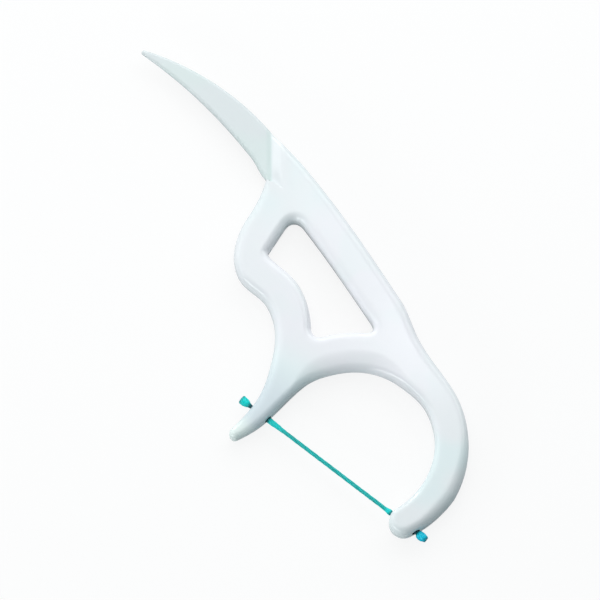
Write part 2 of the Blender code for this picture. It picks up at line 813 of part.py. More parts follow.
def add_handle(mesh, parent):
    """The handle, bored through both arms for the strand."""
    handle = add_object("handle", mesh, parent)
    handle.data.materials.append(white_plastic())
    cutter = add_object("bore_cutter", bore_cutter_mesh(), parent)
    cutter.hide_render = True
    cutter.display_type = "WIRE"
    bores = handle.modifiers.new("strand_bores", "BOOLEAN")
    bores.operation = "DIFFERENCE"
    bores.solver = "EXACT"
    bores.object = cutter


def add_floss_strand(mesh, parent):
    strand = add_object("floss_strand", mesh, parent)
    strand.data.materials.append(teal_floss())


def main():
    clear_scene()
    handle = handle_mesh()
    strand = strand_mesh()
    bow_centre = add_bow_centre([handle, strand])
    add_handle(handle, bow_centre)
    add_floss_strand(strand, bow_centre)


main()
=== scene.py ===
import math

import bmesh
import bpy
import numpy as np
from bpy.props import FloatProperty, FloatVectorProperty, IntProperty, PointerProperty
from mathutils import Matrix, Vector
from mathutils.geometry import delaunay_2d_cdt


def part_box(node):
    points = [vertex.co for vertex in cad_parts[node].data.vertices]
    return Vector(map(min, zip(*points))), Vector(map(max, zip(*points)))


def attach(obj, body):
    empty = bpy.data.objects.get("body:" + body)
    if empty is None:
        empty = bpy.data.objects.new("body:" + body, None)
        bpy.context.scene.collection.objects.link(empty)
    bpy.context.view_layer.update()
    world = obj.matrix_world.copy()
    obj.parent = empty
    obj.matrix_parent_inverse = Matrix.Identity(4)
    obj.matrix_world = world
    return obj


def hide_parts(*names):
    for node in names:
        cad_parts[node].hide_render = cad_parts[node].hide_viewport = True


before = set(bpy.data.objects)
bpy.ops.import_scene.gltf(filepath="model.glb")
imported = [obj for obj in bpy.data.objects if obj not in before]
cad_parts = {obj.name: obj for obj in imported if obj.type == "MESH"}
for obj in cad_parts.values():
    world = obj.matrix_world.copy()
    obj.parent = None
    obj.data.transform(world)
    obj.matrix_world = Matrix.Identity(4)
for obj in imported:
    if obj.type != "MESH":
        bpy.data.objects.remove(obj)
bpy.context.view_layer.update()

bl_info = {
    "name": "Floss pick",
    "version": (1, 0, 0),
    "blender": (4, 5, 0),
    "location": "3D View > Sidebar > Floss pick",
    "description": "Fine moulded handle, multifilament strand and studio for a floss pick",
    "category": "Add Mesh",
}

# The handle's outline lies in the XY plane and is drawn with complex numbers, X + Y times 1j.
# Its zero is the centre of the bow, at half the handle's thickness, as in the CAD source.


# Properties

def length(label, note, default):
    return FloatProperty(
        name=label, description=note, default=default, precision=5, unit="LENGTH",
    )


def angle(label, note, degrees):
    return FloatProperty(
        name=label, description=note, default=math.radians(degrees), subtype="ANGLE",
    )


def share(label, note, default):
    return FloatProperty(name=label, description=note, default=default, min=0.0)


def count(label, note, default):
    return IntProperty(name=label, description=note, default=default, min=1)


def colour(label, note, default):
    """A colour as linear red, green and blue shares."""
    return FloatVectorProperty(
        name=label, description=note, default=default, subtype="COLOR", min=0.0, max=1.0,
    )


class BowSizes(bpy.types.PropertyGroup):
    """The arch that goes round the tooth, with its thick arm."""

    radius: length("Radius", "Inner radius of the bow", 0.0106)
    brow: length("Brow", "How far the crossbar stands into the bow's circle", 0.00036)
    brow_start_turn: angle("Brow start", "Where the brow starts, beside the beak", 193)
    brow_full_turn: angle("Brow full", "Where it has its full depth", 165)
    brow_last_turn: angle("Brow last", "Where it starts to run out", 118)
    brow_end_turn: angle("Brow end", "Where it ends, on the thick arm", 90)
    crossbar: length("Crossbar", "Width of the bar between the bow and the window", 0.00476)
    arm: length("Arm", "Width of the thick arm", 0.00425)
    arm_tip: length("Arm tip", "Width of the thick arm at its round tip", 0.00379)
    drawn_in: length("Drawn in", "How far the thick arm draws in to its tip", 0.00026)
    draws_in_turn: angle("Draws in from", "Where the thick arm starts to draw in", 125)
    arm_root_turn: angle("Arm root", "Where the thick arm leaves the spine", 95)
    arm_narrows_turn: angle("Arm narrows", "Where the thick arm starts to narrow", 34)
    arm_tip_turn: angle("Arm tip turn", "Where the thick arm ends", 4.3)
    beak_turn: angle("Beak turn", "Where the slender arm leaves the bow", 188)
    slope_width: length("Slope width", "Width of the sloping crescent inside the bow", 0.0024)
    slope_depth: length("Slope depth", "How far the crescent sinks", 0.0007)
    slope_start_turn: angle("Slope start", "Where the crescent starts, at the beak", 215)
    slope_broad_turn: angle("Slope broad", "Where it has its full width", 170)
    slope_full_turn: angle("Slope full", "Where it starts to narrow again", 142)
    slope_end_turn: angle("Slope end", "Where it runs out, on the thick arm", 98)


class BeakSizes(bpy.types.PropertyGroup):
    """The slender arm, placed back from and out from the bow's centre."""

    neck_back: length("Neck back", "How far back the strand crosses the outer side", 0.01079)
    neck_out: length("Neck out", "How far out the strand crosses the outer side", 0.00943)
    neck: length("Neck", "Width where the strand runs through", 0.00261)
    neck_heading: angle("Neck heading", "Direction of the outer side at the neck", -65)
    neck_inner_heading: angle("Neck inner heading", "Direction of the inner side there", 108)
    tip_back: length("Tip back", "How far back the tip's centre lies", 0.00855)
    tip_out: length("Tip out", "How far out the tip's centre lies", 0.01313)
    tip_radius: length("Tip radius", "Radius of the round tip", 0.00072)
    tip_heading: angle("Tip heading", "Direction of the outer side at the tip", -69)
    tip_inner_heading: angle("Tip inner heading", "Direction of the inner side there", 86.5)
    tip_thickness: length("Tip thickness", "Thickness at the tip", 0.0023)
    taper: length("Taper", "Length over which the beak thins", 0.0070)


class SpineSizes(bpy.types.PropertyGroup):
    """The wide band along the outer edge."""

    width: length("Width", "Width of the band at the thick arm", 0.00468)
    tail_width: length("Tail width", "Width of the band at the tail", 0.00516)
    hollow_back: length("Hollow back", "Where the edge dips behind the bow", 0.0088)
    hollow_depth: length("Hollow depth", "Dip below the top of the thick arm", 0.0008)
    crown_back: length("Crown back", "Where the edge rises again", 0.0149)
    crown_depth: length("Crown depth", "Crown's depth below the top of the arm", 0.00044)
    crown_heading: angle("Crown heading", "Direction of the edge at the crown", 185)
    shoulder_behind_bar: length("Shoulder", "Where the edge turns to the tail", 0.0211)
    shoulder_depth: length("Shoulder depth", "Shoulder's depth below the arm's top", 0.00315)
    shoulder_heading: angle("Shoulder heading", "Direction of the edge there", 191)
    end_heading: angle("End heading", "Direction in which it meets the tail", 196)


class GripSizes(bpy.types.PropertyGroup):
    """The wavy limb beside the window, placed behind the crossbar."""

    width: length("Width", "Width of the grip beside its bump", 0.00487)
    palm_heading: angle("Palm heading", "Direction of its inner side there", 20)
    waist_width: length("Waist width", "Width beside the waist", 0.0049)
    haunch_width: length("Haunch width", "Width beside the haunch", 0.00455)
    flank: length("Flank", "Width of the straight flank", 0.00479)
    notch_behind_bar: length("Notch", "Where the tail's lower edge ends", 0.02204)
    notch_up: length("Notch up", "Height of that place over the bow's centre", 0.00655)
    notch_length: length("Notch length", "Length of the rounding in the notch", 0.0008)
    notch_entry_heading: angle("Notch entry", "Direction into the notch", 14)
    notch_heading: angle("Notch heading", "Direction out of the notch", -45)
    flank_behind_bar: length("Flank behind bar", "Middle of the flank's outer side", 0.01881)
    flank_up: length("Flank up", "Height of that place", 0.0019)
    flank_heading: angle("Flank heading", "Direction of the flank", -59.4)
    bump_behind_bar: length("Bump", "Where the grip bulges out", 0.0121)
    bump_out: length("Bump out", "How far it bulges", 0.00287)
    waist_behind_bar: length("Waist", "Where the grip draws in", 0.0068)
    waist_out: length("Waist out", "How far out the waist still lies", 0.00138)
    haunch_ahead_of_bar: length("Haunch", "Where the grip turns to the beak", 0.00046)
    haunch_out: length("Haunch out", "How far out that place lies", 0.00457)
    haunch_heading: angle("Haunch heading", "Direction of the edge there", -40.6)


class WindowSizes(bpy.types.PropertyGroup):
    """Corners of the slanted window, and its side along the crossbar."""

    top_corner: length("Top corner", "Setback of the corner next to the tail", 0.0021)
    bend_corner: length("Bend corner", "Setback between flank and grip", 0.0004)
    grip_corner: length("Grip corner", "Setback between grip and crossbar", 0.00175)
    spine_corner: length("Spine corner", "Setback between crossbar and spine", 0.00165)
    bar_start_turn: angle("Bar start", "Start of the side along the crossbar", 190)
    bar_end_turn: angle("Bar end", "End of that side", 100)


class TailSizes(bpy.types.PropertyGroup):
    """The toothpick tail and the step where it leaves the body."""

    length: length("Length", "Length along the bend", 0.0206)
    root_behind_bar: length("Root", "How far behind the crossbar it starts", 0.0266)
    root_up: length("Root up", "Height of the root over the bow's centre", 0.00811)
    root_width: length("Root width", "Width at the root", 0.00405)
    tip_radius: length("Tip radius", "Radius of the point", 0.0003)
    bend_radius: length("Bend radius", "Radius of the bend", 0.0462)
    root_heading: angle("Root heading", "Direction at the root", 190)
    root_thickness: length("Root thickness", "Thickness at the root", 0.0016)
    tip_thickness: length("Tip thickness", "Thickness at the point", 0.0008)
    fullness: share("Fullness", "How late the width falls off, less is fuller", 0.88)
    step_run: length("Step run", "Length of the ramp up to the body", 0.0019)
    step_lag: length("Step lag", "How far past the notch the ramp starts", 0.00015)
    step_facing: angle("Step facing", "Direction that the ramp climbs", 63)
    notch_run: length("Notch run", "Reach of the small wall beside the notch", 0.00008)


class EdgeSizes(bpy.types.PropertyGroup):
    """Thickness and rounded edges of the moulding."""

    thickness: length("Thickness", "Thickness of the body", 0.0034)
    body: length("Body edge", "Rounding round the grip and the window", 0.00115)
    spine: length("Spine edge", "Rounding along the spine", 0.00065)
    bow: length("Bow edge", "Rounding of the bow's inner side", 0.00085)
    arm: length("Arm edge", "Rounding of the thick arm's outer side", 0.0015)
    arm_tip: length("Arm tip edge", "Rounding round the thick arm's tip", 0.0010)
    tail: length("Tail edge", "Rounding of the tail", 0.00045)
    seam: length("Seam", "How far the parting line stands out", 0.00002)
    seam_width: length("Seam width", "Half the height of the parting line", 0.00006)
    of_wall_share: share("Share of the wall", "Most of a wall's half that is rounded", 0.93)
    of_thickness_share: share("Share of the thickness", "Most of a face's height", 0.84)


class StrandSizes(bpy.types.PropertyGroup):
    """The floss, from the cut stub behind the beak to the one outside the thick arm."""

    diameter: length("Diameter", "Diameter of the taut strand", 0.0005)
    bore: length("Bore", "Clearance of the moulded channel round the strand", 0.0003)
    overrun: length("Overrun", "How far the channel's cutter stands out", 0.0010)
    beak_flare: length("Beak flare", "Diameter where it leaves the beak", 0.00074)
    beak_flare_length: length("Beak flare length", "Length of that flare", 0.0032)
    arm_flare: length("Arm flare", "Diameter where it enters the thick arm", 0.0007)
    arm_flare_length: length("Arm flare length", "Length of that flare", 0.0010)
    stub: length("Stub", "Diameter of the swollen cut ends", 0.0011)
    beak_stub_length: length("Beak stub length", "Length of the stub at the beak", 0.00155)
    arm_stub_length: length("Arm stub length", "Length of the stub at the arm", 0.0014)
    filament: length("Filament", "Diameter of one filament", 0.00008)
    filaments: count("Filaments", "Filaments that show on the strand", 44)
    loose: count("Loose filaments", "How many of them stand off the bundle", 12)
    looseness: share("Looseness", "How much wider the loose ones run", 0.16)
    turns: share("Turns", "Turns of the twist from end to end", 5.0)


class Finishes(bpy.types.PropertyGroup):
    """Colours of the plastic, the channels and the floss, some of them painted shade and
    painted highlights.
    """

    plastic: colour("Plastic", "Cool white of the thick body", (0.925, 0.945, 0.96))
    plastic_mint: colour("Mint tint", "Greener patches", (0.87, 0.955, 0.965))
    plastic_lilac: colour("Lilac tint", "Bluer patches", (0.95, 0.94, 0.975))
    plastic_thin: colour("Thin plastic", "Greyer white of the thin tail", (0.785, 0.825, 0.835))
    plastic_thin_mint: colour("Thin mint", "Greener patches of the tail", (0.765, 0.84, 0.83))
    # Painted highlight: the lighter crest of the step
    plastic_crest: colour("Step crest", "Bright top of the step", (0.91, 0.925, 0.94))
    plastic_slim: colour("Slim plastic", "Bluer grey of the slender arm", (0.72, 0.79, 0.84))
    # Painted shade: the darker crease at the foot of the step
    plastic_foot: colour("Step foot", "Shaded foot of the step", (0.66, 0.77, 0.75))
    plastic_tip: colour("Beak tip", "Greener plastic of the thin beak", (0.90, 0.99, 0.955))
    floss: colour("Floss", "Deep teal of the taut span", (0.01, 0.33, 0.30))
    # Partly painted highlight: the brighter spread ends, and a painted rim highlight on the
    # outer filaments
    floss_bright: colour("Bright floss", "Spread filaments at the arms", (0.0, 0.84, 0.81))
    # Partly painted light: the stub's own cyan, lightened to stand for light it lacks in the
    # arm's shade
    floss_cut: colour("Cut floss", "Stub outside the thick arm", (0.0, 0.80, 1.0))
    # Painted shade on the cut ends and where the arms pinch the strand
    floss_dark: colour("Dark floss", "Cut ends and what the arms pinch", (0.0, 0.03, 0.07))
    # Painted shade: the near-black wall of the channels stands for the shade inside them
    channel: colour("Channel", "Shaded wall of the moulded channels", (0.004, 0.012, 0.02))
    channel_shade_grain: colour("Lighter channel", "Lighter grain of that wall", (0.0, 0.03, 0.04))


class StageSizes(bpy.types.PropertyGroup):
    """Camera and floor."""

    azimuth: angle("Azimuth", "Camera's turn round the pick", 62.9)
    elevation: angle("Elevation", "Camera's height over the floor", 71.5)
    frame_width: length("Frame width", "What the camera sees across", 0.078125)
    bow_right: length("Bow right", "Bow's centre right of the frame's middle", 0.0070964)
    bow_down: length("Bow down", "Bow's centre below the frame's middle", 0.0190755)
    lens: FloatProperty(
        name="Lens", description="Long focal length, so the view is nearly parallel",
        default=1500.0, min=1.0, unit="CAMERA",
    )
    floor_radius: length("Floor radius", "Radius of the floor", 3.0)


class FlossPickSettings(bpy.types.PropertyGroup):
    """All sizes and colours of the floss pick."""

    bow: PointerProperty(type=BowSizes)
    beak: PointerProperty(type=BeakSizes)
    spine: PointerProperty(type=SpineSizes)
    grip: PointerProperty(type=GripSizes)
    window: PointerProperty(type=WindowSizes)
    tail: PointerProperty(type=TailSizes)
    edge: PointerProperty(type=EdgeSizes)
    strand: PointerProperty(type=StrandSizes)
    finish: PointerProperty(type=Finishes)
    stage: PointerProperty(type=StageSizes)


# Fineness of the visible meshes
POINT_SPACING = 0.00025
FACE_SPACING = 0.00027
ROW_SPACING = FACE_SPACING / 2
SAME_POINT = 0.000001
ROUND_END_STEPS = 24
EDGE_STEPS = 9
EVENING_PASSES = 60
BORE_SIDES = 40
CORE_SIDES = 20
FILAMENT_SIDES = 6
FILAMENT_STEPS = 260
FLOOR_SIDES = 96

# How far a point of a face stays from the rims and from the notch's rows
GRID_CLEARANCE = 0.6 * FACE_SPACING
ROW_CLEARANCE = 0.2 * FACE_SPACING
# Parts of the outline nearer than this are neighbours, not the wall's other side
NEAREST_WALL = 1.6 * POINT_SPACING

# Reach of a curve's handles, as a share of the way between its ends
PEN_REACH_SHARE = 0.36
CORNER_REACH_SHARE = 0.6
# How hollow the crescent inside the bow is, 1 for a flat slope
CRESCENT_HOLLOW = 1.45
# The spine's rounding holds above this share of the bow's height
SPINE_FROM = 0.6
# The filaments crowd towards the outside of the bundle, 1 for an even spread in radius
FILAMENT_CROWDING = 0.35

SHARP_ANGLE = math.radians(48)
HALF_TURN = math.pi
QUARTER_TURN = math.pi / 2
FULL_TURN = 2 * math.pi
GOLDEN_ANGLE = HALF_TURN * (3 - math.sqrt(5))


# Drawing tools

def heading(turn):
    """Unit step that points along an angle, or along each of several."""
    return np.exp(1j * np.asarray(turn))


def left_of(place, turn, distance):
    """The point beside a place, to the left of the way that an angle points."""
    return place + distance * 1j * heading(turn)


def ease(value):
    """Smooth run from 0 to 1 with a level start and end."""
    held = np.clip(value, 0.0, 1.0)
    return held * held * (3 - 2 * held)


def curve_points(start, leave, arrive, end, t):
    """Points of a curve between two ends with two handles, where t runs from 0 to 1."""
    near = (1 - t) ** 3 * start + 3 * (1 - t) ** 2 * t * leave
    far = 3 * (1 - t) * t ** 2 * arrive + t ** 3 * end
    return near + far


def pen_line(knots):
    """Smooth line through knots, each a place and the heading it is passed with."""
    stretches = []
    for (start, start_turn), (end, end_turn) in zip(knots, knots[1:]):
        reach = abs(end - start) * PEN_REACH_SHARE
        leave = start + reach * heading(start_turn)
        arrive = end - reach * heading(end_turn)
        steps = max(6, math.ceil(abs(end - start) / POINT_SPACING))
        stretches.append(curve_points(start, leave, arrive, end, np.arange(steps) / steps))
    return np.concatenate(stretches + [[knots[-1][0]]])


def arc(centre, radii, turns, steps=0):
    """Points round a centre, with radius and angle that run evenly from first to last."""
    if not steps:
        steps = math.ceil(abs(turns[1] - turns[0]) * radii[0] / POINT_SPACING)
    radius = np.linspace(radii[0], radii[1], steps + 1)
    return centre + radius * heading(np.linspace(turns[0], turns[1], steps + 1))


def inside(points, outline):
    """Which of several points a closed line goes round."""
    before = outline
    after = np.roll(outline, -1)
    height = points.imag[:, None]
    spans = (before.imag > height) != (after.imag > height)
    rise = np.where(after.imag == before.imag, 1.0, after.imag - before.imag)
    cross = before.real + (height - before.imag) / rise * (after.real - before.real)
    return (spans & (points.real[:, None] < cross)).sum(axis=1) % 2 == 1


def raised(places, height):
    """Rows of X, Y and Z for places of the drawing at a height."""
    return np.stack([places.real, places.imag, height], axis=1)


def laid_flat(rows):
    """Places of the drawing under rows of X, Y and Z."""
    return rows[:, 0] + 1j * rows[:, 1]


# The outline

class Plan:
    """The handle's outline and the strand's way, worked out from the sizes."""

    def __init__(self, s):
        self.s = s
        self.bar_back = s.bow.radius + s.bow.crossbar
        self.arm_top = s.bow.radius + s.bow.arm
        tip_middle = self.bow_reach(s.bow.arm_tip_turn) + s.bow.arm_tip / 2
        self.arm_tip = tip_middle * heading(s.bow.arm_tip_turn)
        self.beak_tip = -s.beak.tip_back - 1j * s.beak.tip_out
        self.neck = -s.beak.neck_back - 1j * s.beak.neck_out
        self.beak_hole = left_of(self.neck, s.beak.neck_heading, s.beak.neck / 2)
        self.notch = self.behind_bar(s.grip.notch_behind_bar, s.grip.notch_up)
        self.flank = self.behind_bar(s.grip.flank_behind_bar, s.grip.flank_up)
        self.bump = self.behind_bar(s.grip.bump_behind_bar, -s.grip.bump_out)
        self.waist = self.behind_bar(s.grip.waist_behind_bar, -s.grip.waist_out)
        self.haunch = self.behind_bar(-s.grip.haunch_ahead_of_bar, -s.grip.haunch_out)
        self.tail_root = self.behind_bar(s.tail.root_behind_bar, s.tail.root_up)
        self.strand_way = self.arm_tip - self.beak_hole
        self.strand_turn = math.atan2(self.strand_way.imag, self.strand_way.real)

    def brow(self, turn):
        """How far the crossbar stands into the bow's circle at an angle round its centre."""
        bow = self.s.bow
        rise = ease((turn - bow.brow_end_turn) / (bow.brow_last_turn - bow.brow_end_turn))
        fall = ease((bow.brow_start_turn - turn) / (bow.brow_start_turn - bow.brow_full_turn))
        return bow.brow * rise * fall

    def drawn_in(self, turn):
        """How far the thick arm draws in towards its tip at an angle round the bow's centre."""
        bow = self.s.bow
        arm_run = bow.draws_in_turn - bow.arm_tip_turn
        return bow.drawn_in * ease((bow.draws_in_turn - turn) / arm_run)

    def bow_reach(self, turn):
        """Distance of the bow's inner side from its centre at an angle round it."""
        return self.s.bow.radius - self.brow(turn) - self.drawn_in(turn)

    def bow_side(self, turn):
        """Place on the bow's inner side."""
        return self.bow_reach(turn) * heading(turn)

    def behind_bar(self, distance, up):
        """Place behind the crossbar's window side, at a height over the bow's centre."""
        return -self.bar_back - distance + 1j * up

    def tail(self):
        """The tail's upper edge from root to tip, its round tip, and its lower edge back."""
        tail = self.s.tail
        start = tail.root_heading - QUARTER_TURN
        end = start + tail.length / tail.bend_radius
        centre = left_of(self.tail_root, tail.root_heading, tail.bend_radius)
        middle = arc(centre, (tail.bend_radius, tail.bend_radius), (start, end))
        along = np.linspace(0, 1, len(middle))
        full = np.sin(QUARTER_TURN * (1 - along)) ** tail.fullness
        half_width = tail.tip_radius + (tail.root_width / 2 - tail.tip_radius) * full
        side = half_width * heading(start + along * (end - start))
        radii = (tail.tip_radius, tail.tip_radius)
        tip = arc(middle[-1], radii, (end, end + HALF_TURN), ROUND_END_STEPS)
        return middle + side, tip[1:-1], (middle - side)[::-1]

    def grip_edge(self, tail_lower_end):
        """From the tail's lower edge, round the notch and over the finger grip to the neck."""
        grip = self.s.grip
        notch_entry = self.notch - grip.notch_length * heading(grip.notch_entry_heading)
        notch_exit = self.notch - 1j * grip.notch_length / 2
        tail_heading = self.s.tail.root_heading - HALF_TURN
        line = pen_line([
            (tail_lower_end, tail_heading),
            (notch_entry, grip.notch_entry_heading),
            (notch_exit, grip.notch_heading),
            (self.flank, grip.flank_heading),
            (self.bump, 0),
            (self.waist, 0),
            (self.haunch, grip.haunch_heading),
            (self.neck, self.s.beak.neck_heading),
        ])
        return line[1:-1]

    def beak_edge(self):
        """From the beak's neck round its tip and back to the inside of the bow."""
        beak = self.s.beak
        bow = self.s.bow
        turns = (beak.tip_heading - QUARTER_TURN, beak.tip_inner_heading - QUARTER_TURN)
        tip = arc(self.beak_tip, (beak.tip_radius, beak.tip_radius), turns, ROUND_END_STEPS)
        outer = pen_line([(self.neck, beak.neck_heading), (tip[0], beak.tip_heading)])
        inner = pen_line([
            (tip[-1], beak.tip_inner_heading),
            (left_of(self.neck, beak.neck_heading, beak.neck), beak.neck_inner_heading),
            (self.bow_side(bow.beak_turn), bow.beak_turn - QUARTER_TURN),
        ])
        return np.concatenate([outer[:-1], tip, inner[1:-1]])

    def bow_edge(self):
        """Along the inside of the bow, round the thick arm's tip and back up its outside."""
        bow = self.s.bow
        sweep = bow.beak_turn - bow.arm_tip_turn
        steps = math.ceil(sweep * bow.radius / POINT_SPACING)
        inner = self.bow_side(np.linspace(bow.beak_turn, bow.arm_tip_turn, steps + 1))
        tip_radii = (bow.arm_tip / 2, bow.arm_tip / 2)
        tip_turns = (bow.arm_tip_turn + HALF_TURN, bow.arm_tip_turn + FULL_TURN)
        tip = arc(self.arm_tip, tip_radii, tip_turns, 2 * ROUND_END_STEPS)
        narrow_turns = (bow.arm_tip_turn, bow.arm_narrows_turn)
        tip_top = self.bow_reach(bow.arm_tip_turn) + bow.arm_tip
        narrow = arc(0, (tip_top, self.arm_top), narrow_turns)
        full = arc(0, (self.arm_top, self.arm_top), (bow.arm_narrows_turn, bow.arm_root_turn))
        return np.concatenate([inner, tip[1:-1], narrow[:-1], full[:-1]])

    def spine_edge(self, tail_upper_start):
        """From the thick arm along the spine's outer edge to the root of the tail."""
        bow = self.s.bow
        spine = self.s.spine
        hollow = -spine.hollow_back + 1j * (self.arm_top - spine.hollow_depth)
        crown = -spine.crown_back + 1j * (self.arm_top - spine.crown_depth)
        shoulder_up = self.arm_top - spine.shoulder_depth
        shoulder = self.behind_bar(spine.shoulder_behind_bar, shoulder_up)
        return pen_line([
            (self.arm_top * heading(bow.arm_root_turn), bow.arm_root_turn + QUARTER_TURN),
            (hollow, HALF_TURN),
            (crown, spine.crown_heading),
            (shoulder, spine.shoulder_heading),
            (tail_upper_start, spine.end_heading),
        ])

    def outer(self):
        """The whole outer outline, with the material on its left."""
        upper, tip, lower = self.tail()
        return np.concatenate([
            self.grip_edge(lower[-1]),
            self.beak_edge(),
            self.bow_edge(),
            self.spine_edge(upper[0])[:-1],
            upper,
            tip,
            lower,
        ])

    def window(self):
        """The window with its four rounded corners, run so that the material is on its left."""
        window = self.s.window
        bar_turns = (window.bar_start_turn, window.bar_end_turn)
        bar = arc(0, (self.bar_back, self.bar_back), bar_turns)
        flank, palm = rounded_corner(self.flank_side(), self.palm_side(), window.bend_corner)
        palm, bar = rounded_corner(palm, bar, window.grip_corner)
        bar, spine = rounded_corner(bar, self.spine_side(), window.spine_corner)
        spine, flank = rounded_corner(spine, flank, window.top_corner)
        return np.concatenate([flank, palm, bar, spine])[::-1]

    def spine_side(self):
        """The window's long side, a spine's width from the outer edge."""
        spine = self.s.spine
        edge = self.spine_edge(self.tail()[0][0])
        return moved_left(edge, np.linspace(spine.width, spine.tail_width, len(edge)))

    def flank_side(self):
        """The window's straight side along the flank of the grip."""
        grip = self.s.grip
        middle = left_of(self.flank, grip.flank_heading, grip.flank)
        reach = grip.flank + grip.width
        steps = math.ceil(2 * reach / POINT_SPACING)
        return middle + np.linspace(-reach, reach, steps) * heading(grip.flank_heading)

    def palm_side(self):
        """The window's wavy side, a grip's width from the bump, the waist and the haunch."""
        grip = self.s.grip
        start = left_of(self.bump, 0, grip.width)
        end = left_of(self.haunch, grip.haunch_heading, grip.haunch_width)
        waist = left_of(self.waist, 0, grip.waist_width)
        line = pen_line([(start, grip.palm_heading), (waist, 0), (end, grip.haunch_heading)])
        before = start - grip.width * heading(grip.palm_heading)
        ahead = end + grip.width * heading(grip.haunch_heading)
        return np.concatenate([[before], line, [ahead]])


def moved_left(line, distance):
    """A line moved to its left by a distance, measured square to it."""
    along = np.gradient(line)
    return line + distance * 1j * along / abs(along)


def crossing(first, second):
    """Where two lines cross, with the number of the segment of each that holds it."""
    start = first[:-1, None]
    step = np.diff(first)[:, None]
    other = second[None, :-1]
    other_step = np.diff(second)[None, :]
    gap = other - start
    turn = (np.conj(step) * other_step).imag
    turn = np.where(turn == 0, np.inf, turn)
    on_first = (np.conj(gap) * other_step).imag / turn
    on_second = (np.conj(gap) * step).imag / turn
    held = (on_first >= 0) & (on_first < 1) & (on_second >= 0) & (on_second < 1)
    places = np.argwhere(held)
    if not len(places):
        raise ValueError("two lines of the outline do not cross")
    i, j = places[0]
    return first[i] + on_first[i, j] * (first[i + 1] - first[i]), i, j


def rounded_corner(line, next_line, setback):
    """Two lines cut at their crossing and joined by a curve that starts a setback from it."""
    corner, i, j = crossing(line, next_line)
    before = line[:i + 1]
    before = before[abs(before - corner) > setback]
    after = next_line[j + 1:]
    after = after[abs(after - corner) > setback]
    leave = before[-1] + CORNER_REACH_SHARE * (corner - before[-1])
    arrive = after[0] + CORNER_REACH_SHARE * (corner - after[0])
    steps = max(8, math.ceil(2 * setback / POINT_SPACING))
    t = np.linspace(0, 1, steps + 1)[1:-1]
    return np.concatenate([before, curve_points(before[-1], leave, arrive, after[0], t)]), after


# Height of the handle's faces over its middle plane, and the reach of its rounded edges

def on_body(plan, places):
    """0 on the tail and 1 on the body, with the ramp of the step between them."""
    tail = plan.s.tail
    from_notch = places - plan.notch
    up_ramp = (from_notch * np.conj(heading(tail.step_facing))).real - tail.step_lag
    past_notch = (from_notch * np.conj(heading(plan.s.grip.flank_heading))).real
    return ease(np.maximum(up_ramp / tail.step_run, past_notch / tail.notch_run))


def face_height(plan, places):
    """Height of the upper face over the middle plane, which the lower face mirrors."""
    tail = plan.s.tail
    beak = plan.s.beak
    down_tail = np.minimum(abs(places - plan.tail_root) / tail.length, 1.0)
    tail_thins = tail.tip_thickness - tail.root_thickness
    tail_thickness = tail.root_thickness + down_tail * tail_thins
    off_tip = ease(abs(places - plan.beak_tip) / beak.taper)
    full = plan.s.edge.thickness
    body_thickness = beak.tip_thickness + off_tip * (full - beak.tip_thickness)
    body = on_body(plan, places)
    level = (body * body_thickness + (1 - body) * tail_thickness) / 2
    return level - bow_slope(plan, places)


def turn_round_bow(places):
    """Angle round the bow's centre, from just before the thick arm's tip."""
    before_tip = QUARTER_TURN / 2
    return (np.angle(places) + before_tip) % FULL_TURN - before_tip


def bow_slope(plan, places):
    """How far the face has sunk in the crescent along the top of the bow's inner side."""
    bow = plan.s.bow
    turn = turn_round_bow(places)
    rise = ease((turn - bow.slope_end_turn) / (bow.slope_full_turn - bow.slope_end_turn))
    fall = ease((bow.slope_start_turn - turn) / (bow.slope_start_turn - bow.slope_broad_turn))
    width = bow.slope_width * rise * fall
    off_side = abs(places) - plan.bow_reach(turn)
    into = np.clip((width - off_side) / np.maximum(width, SAME_POINT), 0.0, 1.0)
    return bow.slope_depth * rise * fall * into ** CRESCENT_HOLLOW


def widest_rounding(plan, places):
    """How far the rounded edge may reach over the face near points of the outline."""
    edge = plan.s.edge
    bow = plan.s.bow
    turn = turn_round_bow(places)
    near_bow = 1 - ease((abs(places) - bow.radius) / bow.arm * 2)
    on_spine = ease((bow.beak_turn - QUARTER_TURN / 2 - turn) / QUARTER_TURN)
    on_spine = on_spine * (places.imag > plan.arm_top * SPINE_FROM)
    down_arm = ease((bow.arm_root_turn - turn) / (bow.arm_root_turn - bow.arm_narrows_turn))
    off_tip = ease((abs(places - plan.arm_tip) - bow.arm_tip / 2) / bow.arm_tip)
    on_arm = edge.arm_tip + off_tip * (edge.arm - edge.arm_tip)
    rounding = edge.body + on_spine * (edge.spine - edge.body)
    rounding = rounding + down_arm * (on_arm - rounding)
    rounding = rounding + near_bow * (edge.bow - rounding)
    body = on_body(plan, places)
    return body * rounding + (1 - body) * edge.tail


def inward_normals(outline):
    """Unit steps into the material, which lies to the left of a closed line."""
    ahead = np.roll(outline, -1) - outline
    behind = outline - np.roll(outline, 1)
    along = ahead / abs(ahead) + behind / abs(behind)
    return 1j * along / abs(along)


def wall_radius(outline, normals, walls):
    """Radius of the largest circle inside the material that touches the edge at each point."""
    reach = walls[None, :] - outline[:, None]
    depth = (reach * np.conj(normals)[:, None]).real
    far_enough = (depth > 0) & (abs(reach) > NEAREST_WALL)
    radius = abs(reach) ** 2 / np.where(far_enough, 2 * depth, 1)
    return np.where(far_enough, radius, np.inf).min(axis=1)


def edge_reaches(plan, outline, normals, walls):
    """Reach of the rounded edge at each point, held within the wall and evened out."""
    in_wall = plan.s.edge.of_wall_share * wall_radius(outline, normals, walls)
    reaches = np.minimum(widest_rounding(plan, outline), in_wall)
    for _ in range(EVENING_PASSES):
        evened = (np.roll(reaches, 1) + reaches + np.roll(reaches, -1)) / 3
        reaches = np.minimum(reaches, evened)
    return reaches


